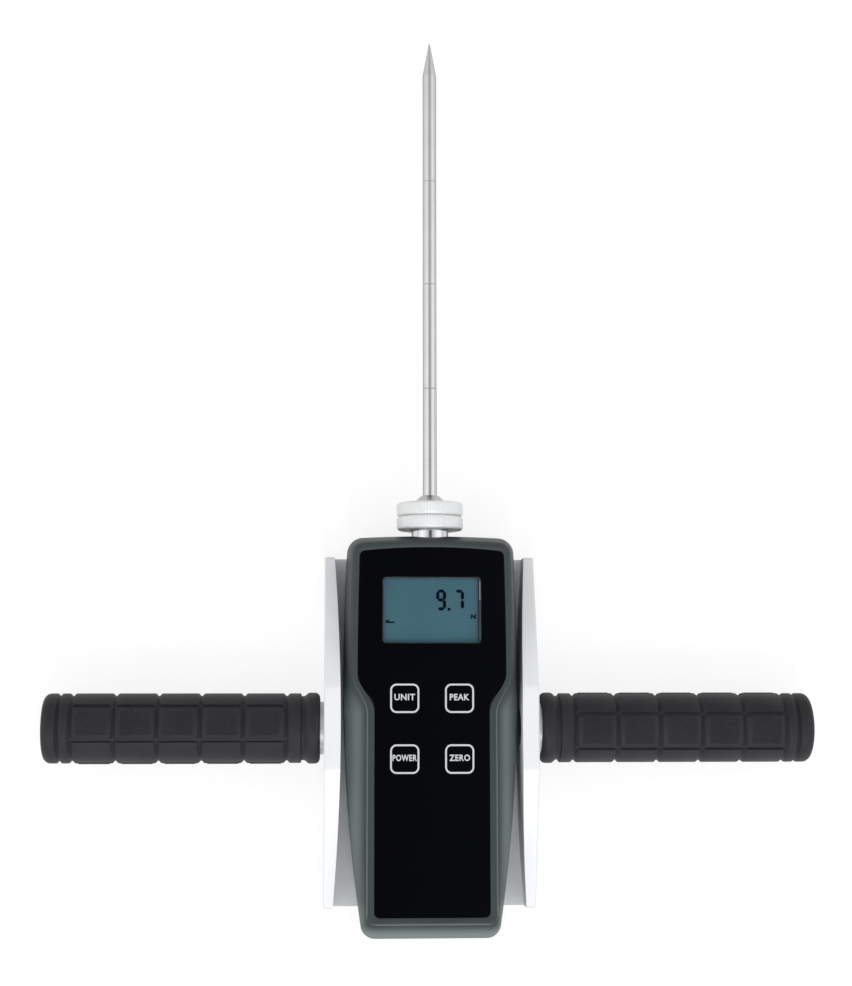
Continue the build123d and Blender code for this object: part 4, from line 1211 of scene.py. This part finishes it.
@dataclass
class Handle:
    """A handle: washer, tube, plug, bolt and a moulded rubber grip."""

    side: Side
    inner: float = 50.5
    axis_z: float = 23.0
    length: float = 125.3
    flange_radius: float = 16.15
    flange_thickness: float = 5.6
    body_radius: float = 15.85
    neck_radius: float = 14.6
    groove_depth: float = 1.2
    groove_width: float = 2.4
    slot_depth: float = 0.9
    slot_width: float = 1.5
    ring_start: float = 8.6
    block_start: float = 15.2
    block_length: float = 19.4
    block_count: int = 5
    panel_count: int = 6
    end_ring: float = 3.6
    notch: float = 1.9
    notch_depth: float = 1.1
    end_rounding: float = 3.4
    tube_end: float = 121.1
    bore: float = 11.1
    stud_pitch: float = 1.5
    stud_height: float = 0.42
    border: float = 2.0

    @property
    def panel_turn(self) -> float:
        """Return the turn of the first long groove, from the Y axis, in degrees."""
        return 6.0 if self.side is Side.RIGHT else 49.5

    @property
    def first_studded(self) -> int:
        """Return the number of the first panel with pyramids; every second one has them."""
        return 1 if self.side is Side.RIGHT else 0

    def profile(self) -> list[tuple[float, float]]:
        """Return the grip's outline from its inner end to its outer end.

        Returns:
            Places along the grip and the radii there.
        """
        r, neck, flange = self.body_radius, self.neck_radius, self.flange_radius
        half = self.groove_width / 2
        line = [
            (0.0, self.bore), (0.0, flange - 2.6), (0.2, flange - 1.6), (0.7, flange - 0.75),
            (1.4, flange - 0.2), (2.2, flange), (self.flange_thickness - 0.6, flange),
            (self.flange_thickness, flange - 0.3), (self.flange_thickness + 1.3, neck + 0.12),
            (self.flange_thickness + 1.7, neck), (self.ring_start - 0.15, neck),
            (self.ring_start, neck + 0.2), (self.ring_start, r - 0.4), (self.ring_start + 0.4, r),
        ]
        for number in range(self.block_count + 1):
            at = self.block_start + number * self.block_length
            line += [
                (at - half - 0.4, r), (at - half, r - 0.22), (at - 0.22, r - self.groove_depth),
                (at + 0.22, r - self.groove_depth), (at + half, r - 0.22), (at + half + 0.4, r),
            ]
        notch = self.block_start + self.block_count * self.block_length + half + self.end_ring
        line += [
            (notch - 0.3, r), (notch, r - 0.25), (notch + self.notch * 0.4, r - self.notch_depth),
            (notch + self.notch * 0.6, r - self.notch_depth), (notch + self.notch, r - 0.25),
            (notch + self.notch + 0.3, r),
        ]
        bend = self.end_rounding
        for step in range(9):
            turn = math.pi / 2 * step / 8
            line.append((
                self.length - bend + bend * math.sin(turn), r - bend * (1 - math.cos(turn)),
            ))
        return line + [(self.length, 8.0), (self.length, 3.0)]

    def grip_blank(self) -> bpy.types.Mesh:
        """Build the grip as a turned blank, with more points where long grooves will run.

        Returns:
            The blank.
        """
        line = self.profile()
        per_panel, span = 12, 360 / self.panel_count
        lip = math.degrees((self.slot_width / 2 + 0.3) / self.body_radius)
        wall = math.degrees((self.slot_width / 2 - 0.1) / self.body_radius)
        turns = []
        for panel in range(self.panel_count):
            start = self.panel_turn + panel * span
            turns += [start + turn for turn in (-lip, -lip * 0.8, -wall, wall, lip * 0.8, lip)]
            turns += [
                start + lip + (span - 2 * lip) * step / per_panel for step in range(1, per_panel)
            ]
        points, faces = [], []
        for along, out in line + [(self.tube_end, self.bore)]:
            for turn in turns:
                angle = math.radians(turn)
                points.append((
                    self.side.value * (self.inner + along), out * math.cos(angle),
                    self.axis_z + out * math.sin(angle),
                ))
        count, rings = len(turns), len(line) + 1
        for number in range(rings - 2):
            for step in range(count):
                here, there = number * count + step, number * count + (step + 1) % count
                faces.append((here, there, there + count, here + count))
        cap = (rings - 2) * count
        faces.append(tuple(cap + step for step in range(count)))
        floor = (rings - 1) * count
        for step in range(count):
            after = (step + 1) % count
            faces.append((step, after, floor + after, floor + step))
        faces.append(tuple(floor + step for step in range(count)))
        blank = mesh_piece("grip_blank", points, faces, 40.0)
        mesh = blank.data
        bpy.data.objects.remove(blank)
        return mesh

    def groove_tree(self) -> NodeTree:
        """Build the tree that sinks the long grooves between the panels of a blank.

        Returns:
            The tree, whose inputs are the sizes of the grip and of its grooves.
        """
        tree = NodeTree("grip_grooves")
        inner, axis, body, turn, count, width, depth, start, end = (
            tree.input(name, "NodeSocketFloat") for name in (
                "Inner", "Axis Height", "Body Radius", "First Turn", "Panel Count",
                "Groove Width", "Groove Depth", "Start", "End",
            )
        )
        place = tree.node("ShaderNodeSeparateXYZ")
        tree.feed(place.inputs[0], tree.node("GeometryNodeInputPosition").outputs[0])
        x, y = place.outputs["X"], place.outputs["Y"]
        z = tree.math("SUBTRACT", place.outputs["Z"], axis)
        angle = tree.math("ARCTAN2", z, y)
        radius = tree.math(
            "SQRT", tree.math("ADD", tree.math("MULTIPLY", y, y), tree.math("MULTIPLY", z, z))
        )
        half_span = tree.math("DIVIDE", math.pi, count)
        phase = tree.math(
            "WRAP", tree.math("SUBTRACT", angle, turn), half_span,
            tree.math("MULTIPLY", half_span, -1.0),
        )
        off = tree.math("MULTIPLY", tree.math("ABSOLUTE", phase), body)
        half = tree.math("MULTIPLY", width, 0.5)
        share = tree.node(
            "ShaderNodeMapRange", Value=off, From_Min=tree.math("SUBTRACT", half, 0.1 * MM),
            From_Max=tree.math("ADD", half, 0.3 * MM), To_Min=1.0, To_Max=0.0,
        )
        along = tree.math("SUBTRACT", tree.math("ABSOLUTE", x), inner)
        inside = tree.math(
            "MULTIPLY", tree.math("GREATER_THAN", along, start),
            tree.math("LESS_THAN", along, end),
        )
        cut = tree.math("MULTIPLY", share.outputs[0], depth)
        over = tree.math("MAXIMUM", tree.math(
            "SUBTRACT", radius, tree.math("SUBTRACT", body, cut)), 0.0)
        out = tree.math("SUBTRACT", radius, tree.math("MULTIPLY", over, inside))
        moved = tree.node(
            "ShaderNodeCombineXYZ", X=x, Y=tree.math("MULTIPLY", out, tree.math("COSINE", angle)),
            Z=tree.math("ADD", tree.math("MULTIPLY", out, tree.math("SINE", angle)), axis),
        )
        sunk = tree.node(
            "GeometryNodeSetPosition", Geometry=tree.start.outputs[0], Position=moved.outputs[0]
        )
        tree.finish(sunk.outputs[0], GRIP_RUBBER)
        return tree

    def grip_body(self) -> bpy.types.Object:
        """Build the grip with its rings, blocks and long grooves.

        Returns:
            The piece.
        """
        half = self.groove_width / 2
        body = self.groove_tree().bake(
            f"grip_{self.side.name.lower()}_body", self.grip_blank(), Inner=self.inner * MM,
            Axis_Height=self.axis_z * MM, Body_Radius=self.body_radius * MM,
            First_Turn=math.radians(self.panel_turn), Panel_Count=float(self.panel_count),
            Groove_Width=self.slot_width * MM, Groove_Depth=self.slot_depth * MM,
            Start=(self.block_start + half * 0.4) * MM,
            End=(self.block_start + self.block_count * self.block_length - half * 0.4) * MM,
        )
        smooth(body, 40.0)
        return body

    def stud_tree(self) -> NodeTree:
        """Build the tree that sets rows of small pyramids on the panels.

        Returns:
            The tree, whose inputs are the pitch and the height of the pyramids.
        """
        tree = NodeTree("grip_studs")
        pitch = tree.input("Pitch", "NodeSocketFloat")
        height = tree.input("Height", "NodeSocketFloat")
        base = tree.math("MULTIPLY", pitch, 0.64)
        stud = tree.node(
            "GeometryNodeMeshCone", Vertices=4, Radius_Top=0.0001, Radius_Bottom=base,
            Depth=height,
        )
        way = tree.node("GeometryNodeInputNamedAttribute", Name="way")
        way.data_type = "FLOAT_VECTOR"
        turn = tree.node("FunctionNodeAlignEulerToVector", Vector=way.outputs[0])
        turn.axis = "Z"
        turn.pivot_axis = "X"
        placed = tree.node(
            "GeometryNodeInstanceOnPoints", Points=tree.start.outputs[0],
            Instance=stud.outputs[0], Rotation=turn.outputs[0],
        )
        tree.finish(placed.outputs[0], GRIP_RUBBER)
        return tree

    def stud_points(self) -> bpy.types.Mesh:
        """Lay out the pyramids in offset rows on each panel of each block.

        Returns:
            A mesh of points with their outward directions.
        """
        places, ways = [], []
        sign = self.side.value
        r = self.body_radius - 0.02
        span = math.radians(360 / self.panel_count)
        edge = (self.slot_width / 2 + self.border * 0.7) / r
        for block in range(self.block_count):
            low = self.block_start + block * self.block_length + self.groove_width / 2
            high = low + self.block_length - self.groove_width
            low, high = low + self.border, high - self.border
            rows = int((high - low) / (self.stud_pitch * 0.5))
            for panel in range(self.first_studded, self.panel_count, 2):
                start = math.radians(self.panel_turn) + panel * span + edge
                width = span - 2 * edge
                columns = int(width * r / self.stud_pitch)
                for row in range(rows + 1):
                    along = low + (high - low) * row / rows
                    shift = 0.5 if row % 2 else 0.0
                    for column in range(columns):
                        angle = start + width * (column + 0.25 + shift) / columns
                        out = (0.0, math.cos(angle), math.sin(angle))
                        places.append((
                            sign * (self.inner + along), r * out[1], self.axis_z + r * out[2]
                        ))
                        ways.append(out)
        return point_mesh("stud_points", places, ways)

    def build(self) -> list[bpy.types.Object]:
        """Build and dress the handle.

        Returns:
            The new pieces.
        """
        name = self.side.name.lower()
        body = dress(self.grip_body(), GRIP_RUBBER)
        studs = self.stud_tree().bake(
            f"grip_{name}_studs", self.stud_points(), Pitch=self.stud_pitch * MM,
            Height=self.stud_height * MM,
        )
        for piece in (body, studs):
            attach(piece, "gauge")
        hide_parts(f"grip_{name}")
        dress_node(f"handle_washer_{name}", RING_STEEL)
        dress_node(f"handle_tube_{name}", TUBE_STEEL)
        dress_node(f"handle_plug_{name}", TUBE_STEEL)
        dress_node(f"handle_bolt_{name}", SCREW_STEEL)
        return [body, studs]


@dataclass
class Coupling:
    """The neck of the shaft and the two knurled rings on it."""

    radius: float = 15.4
    thickness: float = 6.2
    bore: float = 5.05
    lock_bottom: float = 91.2
    head_bottom: float = 97.6
    axis_z: float = 23.0
    tooth_count: int = 72
    tooth_depth: float = 0.2

    def knurl_tree(self) -> NodeTree:
        """Build the tree that sets fine upright teeth round a ring.

        Returns:
            The tree, whose inputs are the tooth's width, depth and length.
        """
        tree = NodeTree("ring_knurl")
        width = tree.input("Width", "NodeSocketFloat")
        depth = tree.input("Depth", "NodeSocketFloat")
        length = tree.input("Length", "NodeSocketFloat")
        side = math.sqrt(0.5)
        block = tree.node("GeometryNodeMeshCube", Size=(side, 1.0, side))
        diamond = tree.node(
            "GeometryNodeTransform", Geometry=block.outputs[0], Rotation=(0.0, math.pi / 4, 0.0)
        )
        size = tree.node(
            "ShaderNodeCombineXYZ", X=width, Y=length, Z=tree.math("MULTIPLY", depth, 2.0)
        )
        tooth = tree.node(
            "GeometryNodeTransform", Geometry=diamond.outputs[0], Scale=size.outputs[0]
        )
        way = tree.node("GeometryNodeInputNamedAttribute", Name="way")
        way.data_type = "FLOAT_VECTOR"
        turn = tree.node("FunctionNodeAlignEulerToVector", Vector=way.outputs[0])
        turn.axis = "Z"
        turn.pivot_axis = "Y"
        placed = tree.node(
            "GeometryNodeInstanceOnPoints", Points=tree.start.outputs[0],
            Instance=tooth.outputs[0], Rotation=turn.outputs[0],
        )
        tree.finish(placed.outputs[0], RING_STEEL)
        return tree

    def ring(self, name: str, bottom: float, body: str, node: str) -> list[bpy.types.Object]:
        """Build one ring with its chamfers and knurl.

        Args:
            name: The ring's name.
            bottom: Its lower face along the needle axis.
            body: The body that it rides on.
            node: The plain solid that it replaces.

        Returns:
            The ring and its knurl.
        """
        top = bottom + self.thickness
        r = self.radius - self.tooth_depth
        inner_top = top if node == "lock_ring" else top - 0.05
        profile = [
            (bottom, self.bore), (bottom, r - 1.0), (bottom + 0.12, r - 0.5),
            (bottom + 0.75, r), (top - 0.75, r), (top - 0.2, r - 0.4), (top, r - 1.0),
            (inner_top, self.bore),
        ]
        ring = dress(
            lathe(name, profile, (0.0, 0.0, self.axis_z), "Y", 160, 40.0), RING_STEEL
        )
        places, ways = [], []
        for number in range(self.tooth_count):
            turn = 2 * math.pi * number / self.tooth_count
            way = (math.cos(turn), 0.0, math.sin(turn))
            places.append((
                r * way[0], bottom + self.thickness / 2, self.axis_z + r * way[2]
            ))
            ways.append(way)
        knurl = self.knurl_tree().bake(
            name + "_knurl", point_mesh(name + "_points", places, ways),
            Width=2 * math.pi * r / self.tooth_count * 0.7 * MM,
            Depth=self.tooth_depth * MM, Length=(self.thickness - 1.7) * MM,
        )
        for piece in (ring, knurl):
            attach(piece, body)
        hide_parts(node)
        return [ring, knurl]

    def build(self) -> list[bpy.types.Object]:
        """Build and dress the coupling.

        Returns:
            The new pieces.
        """
        dress_node("sensing_shaft", NECK_CHROME)
        dress_node("shaft_seal", GRIP_RUBBER)
        return self.ring("lock_ring_turned", self.lock_bottom, "lock_ring", "lock_ring") + (
            self.ring("probe_head_turned", self.head_bottom, "probe", "probe_head")
        )


@dataclass
class Needle:
    """The polished needle with its depth marks and its collar."""

    radius: float = 3.2
    axis_z: float = 23.0
    bottom: float = 102.6
    cone_base: float = 310.0
    tip: float = 326.2
    tip_radius: float = 0.25
    first_mark: float = 158.0
    mark_spacing: float = 50.0
    mark_count: int = 3
    mark_depth: float = 0.22
    mark_width: float = 0.5
    collar_bottom: float = 103.8
    collar_top: float = 107.3
    collar_radius: float = 6.5

    def rod(self) -> bpy.types.Object:
        """Build the needle with its point and its ring marks.

        Returns:
            The piece.
        """
        r = self.radius
        profile = [(self.bottom, 0.0), (self.bottom, r)]
        for number in range(self.mark_count):
            mark = self.first_mark + number * self.mark_spacing
            profile += [
                (mark - self.mark_width / 2, r), (mark, r - self.mark_depth),
                (mark + self.mark_width / 2, r),
            ]
        profile += [
            (self.cone_base - 0.3, r), (self.cone_base + 0.3, r - 0.06),
            (self.tip - 0.1, self.tip_radius + 0.04), (self.tip, self.tip_radius * 0.5),
            (self.tip, 0.0),
        ]
        rod = lathe("needle_rod", profile, (0.0, 0.0, self.axis_z), "Y", 96, 8.0)
        dress(rod, PROBE_STEEL)
        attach(rod, "probe")
        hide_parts("probe_rod")
        return rod

    def collar(self) -> bpy.types.Object:
        """Build the flat collar where the needle meets its head.

        Returns:
            The piece.
        """
        low, high = self.collar_bottom, self.collar_top
        profile = [
            (low, self.radius), (low, self.collar_radius - 0.25),
            (low + 0.3, self.collar_radius), (low + 1.3, self.collar_radius),
            (low + 1.7, self.collar_radius - 0.4), (high - 0.3, self.radius + 1.3),
            (high, self.radius + 0.9), (high, self.radius),
        ]
        collar = lathe("needle_collar", profile, (0.0, 0.0, self.axis_z), "Y", 72, 30.0)
        dress(collar, COLLAR_STEEL)
        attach(collar, "probe")
        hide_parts("probe_collar")
        return collar

    def build(self) -> list[bpy.types.Object]:
        """Build and dress the needle.

        Returns:
            The new pieces.
        """
        return [self.rod(), self.collar()]


@dataclass
class Studio:
    """The pale floor, the soft lamps and the camera of the photograph."""

    camera_place: Point = (-48.27, 7.94, 872.99)
    camera_target: Point = (-1.79, 108.79, 23.0)
    camera_roll: float = -0.001
    focal_pixels: float = 1835.6
    image_height: float = 986.0
    sensor: float = 36.0
    floor_size: float = 6.0
    floor_glow: float = 0.80
    tent_light: float = 0.56
    side_light: float = 2.0
    roof_light: float = 0.06
    foot_share: float = 0.42
    dark_from: float = 0.989
    bright_to: float = 0.97
    foot_power: float = 3.6

    def camera(self) -> None:
        """Place the camera where the photograph was taken from."""
        place = Vector(self.camera_place) * MM
        forward = (Vector(self.camera_target) * MM - place).normalized()
        right = forward.cross(Vector((0.0, 1.0, 0.0))).normalized()
        up = right.cross(forward)
        c, s = math.cos(self.camera_roll), math.sin(self.camera_roll)
        right, up = right * c + up * s, up * c - right * s
        data = bpy.data.cameras.new("camera")
        data.lens = self.focal_pixels * self.sensor / self.image_height
        data.sensor_width = self.sensor
        data.clip_start = 0.01
        data.clip_end = 50.0
        camera = bpy.data.objects.new("camera", data)
        turn = Matrix((right, up, -forward)).transposed().to_4x4()
        camera.matrix_world = Matrix.Translation(place) @ turn
        bpy.context.scene.collection.objects.link(camera)
        bpy.context.scene.camera = camera

    def floor(self) -> None:
        """Lay the pale floor, which keeps the object's shadow."""
        half = self.floor_size / 2
        mesh = bpy.data.meshes.new("floor")
        mesh.from_pydata(
            [(-half, -half, 0.0), (half, -half, 0.0), (half, half, 0.0), (-half, half, 0.0)],
            [], [(0, 1, 2, 3)],
        )
        floor = new_object("floor", mesh)
        mat = bpy.data.materials.new("floor_white")
        mat.use_nodes = True
        nodes, links = mat.node_tree.nodes, mat.node_tree.links
        shader = nodes["Principled BSDF"]
        shader.inputs["Base Color"].default_value = (0.26, 0.26, 0.26, 1.0)
        shader.inputs["Roughness"].default_value = 0.9
        shader.inputs["Specular IOR Level"].default_value = 0.0
        path = nodes.new("ShaderNodeLightPath")
        glow = nodes.new("ShaderNodeEmission")
        glow.inputs["Color"].default_value = (1.0, 1.0, 1.0, 1.0)
        seen = path.outputs["Is Camera Ray"]
        for other in ("Is Glossy Ray", "Is Transmission Ray"):
            either = nodes.new("ShaderNodeMath")
            either.operation = "MAXIMUM"
            links.new(seen, either.inputs[0])
            links.new(path.outputs[other], either.inputs[1])
            seen = either.outputs[0]
        amount = nodes.new("ShaderNodeMath")
        amount.operation = "MULTIPLY"
        amount.inputs[1].default_value = self.floor_glow
        links.new(seen, amount.inputs[0])
        links.new(amount.outputs[0], glow.inputs["Strength"])
        both = nodes.new("ShaderNodeAddShader")
        links.new(shader.outputs[0], both.inputs[0])
        links.new(glow.outputs[0], both.inputs[1])
        links.new(both.outputs[0], nodes["Material Output"].inputs["Surface"])
        floor.data.materials.append(mat)

    def lamp(
        self, name: str, place: Point, target: Point, size: tuple[float, float], power: float
    ) -> None:
        """Hang a soft lamp.

        Args:
            name: The lamp's name.
            place: Where it hangs, in metres.
            target: What it points at, in metres.
            size: Its width and height, in metres.
            power: Its power, in watts.
        """
        data = bpy.data.lights.new(name, "AREA")
        data.shape = "RECTANGLE"
        data.size, data.size_y = size
        data.energy = power
        lamp = bpy.data.objects.new(name, data)
        lamp.location = place
        aim = Vector(target) - Vector(place)
        lamp.rotation_euler = aim.to_track_quat("-Z", "Y").to_euler()
        bpy.context.scene.collection.objects.link(lamp)

    def world(self) -> None:
        """Surround the object with a light tent, bright low down and dark overhead."""
        world = bpy.data.worlds.new("tent")
        world.use_nodes = True
        nodes, links = world.node_tree.nodes, world.node_tree.links
        back = nodes["Background"]
        way = nodes.new("ShaderNodeSeparateXYZ")
        links.new(nodes.new("ShaderNodeTexCoord").outputs["Generated"], way.inputs[0])
        band = nodes.new("ShaderNodeMapRange")
        band.interpolation_type = "SMOOTHSTEP"
        band.inputs["From Min"].default_value = self.dark_from
        band.inputs["From Max"].default_value = self.bright_to
        links.new(way.outputs["Z"], band.inputs["Value"])
        lean = nodes.new("ShaderNodeMath")
        lean.operation = "MULTIPLY_ADD"
        lean.inputs[1].default_value = -self.foot_share * self.tent_light
        lean.inputs[2].default_value = self.tent_light
        links.new(way.outputs["Y"], lean.inputs[0])
        glow = nodes.new("ShaderNodeMath")
        glow.operation = "MULTIPLY_ADD"
        glow.inputs[2].default_value = self.roof_light
        links.new(band.outputs["Result"], glow.inputs[0])
        links.new(lean.outputs[0], glow.inputs[1])
        across = nodes.new("ShaderNodeMath")
        across.operation = "MULTIPLY"
        links.new(way.outputs["X"], across.inputs[0])
        links.new(way.outputs["X"], across.inputs[1])
        raised = nodes.new("ShaderNodeMath")
        raised.operation = "MULTIPLY"
        raised.use_clamp = True
        links.new(across.outputs[0], raised.inputs[0])
        links.new(way.outputs["Z"], raised.inputs[1])
        total = nodes.new("ShaderNodeMath")
        total.operation = "MULTIPLY_ADD"
        total.inputs[1].default_value = self.side_light
        links.new(raised.outputs[0], total.inputs[0])
        links.new(glow.outputs[0], total.inputs[2])
        links.new(total.outputs[0], back.inputs["Strength"])
        back.inputs["Color"].default_value = (0.985, 0.995, 1.0, 1.0)
        bpy.context.scene.world = world

    def build(self) -> None:
        """Set up the whole studio."""
        self.camera()
        self.floor()
        self.world()
        self.lamp("foot_lamp", (0.0, -0.95, 1.15), (0.0, 0.0, 0.0), (0.4, 0.4), self.foot_power)
        settings = bpy.context.scene.view_settings
        settings.view_transform = "Standard"


def corners(box: tuple[Vector, Vector]) -> list[list[float]]:
    """Return a box as two plain lists of numbers."""
    return [list(box[0]), list(box[1])]


def main() -> None:
    """Build the studio and every sub-assembly."""
    logging.basicConfig(level=logging.INFO, format="%(name)s: %(message)s")
    Studio().build()
    assemblies = [
        GaugeCase(), FacePanel(), Bracket(), Handle(Side.LEFT), Handle(Side.RIGHT),
        Coupling(), Needle(),
    ]
    for assembly in assemblies:
        for piece in assembly.build():
            log.info("%s: %d faces", piece.name, len(piece.data.polygons))


if __name__ == "__main__":
    main()
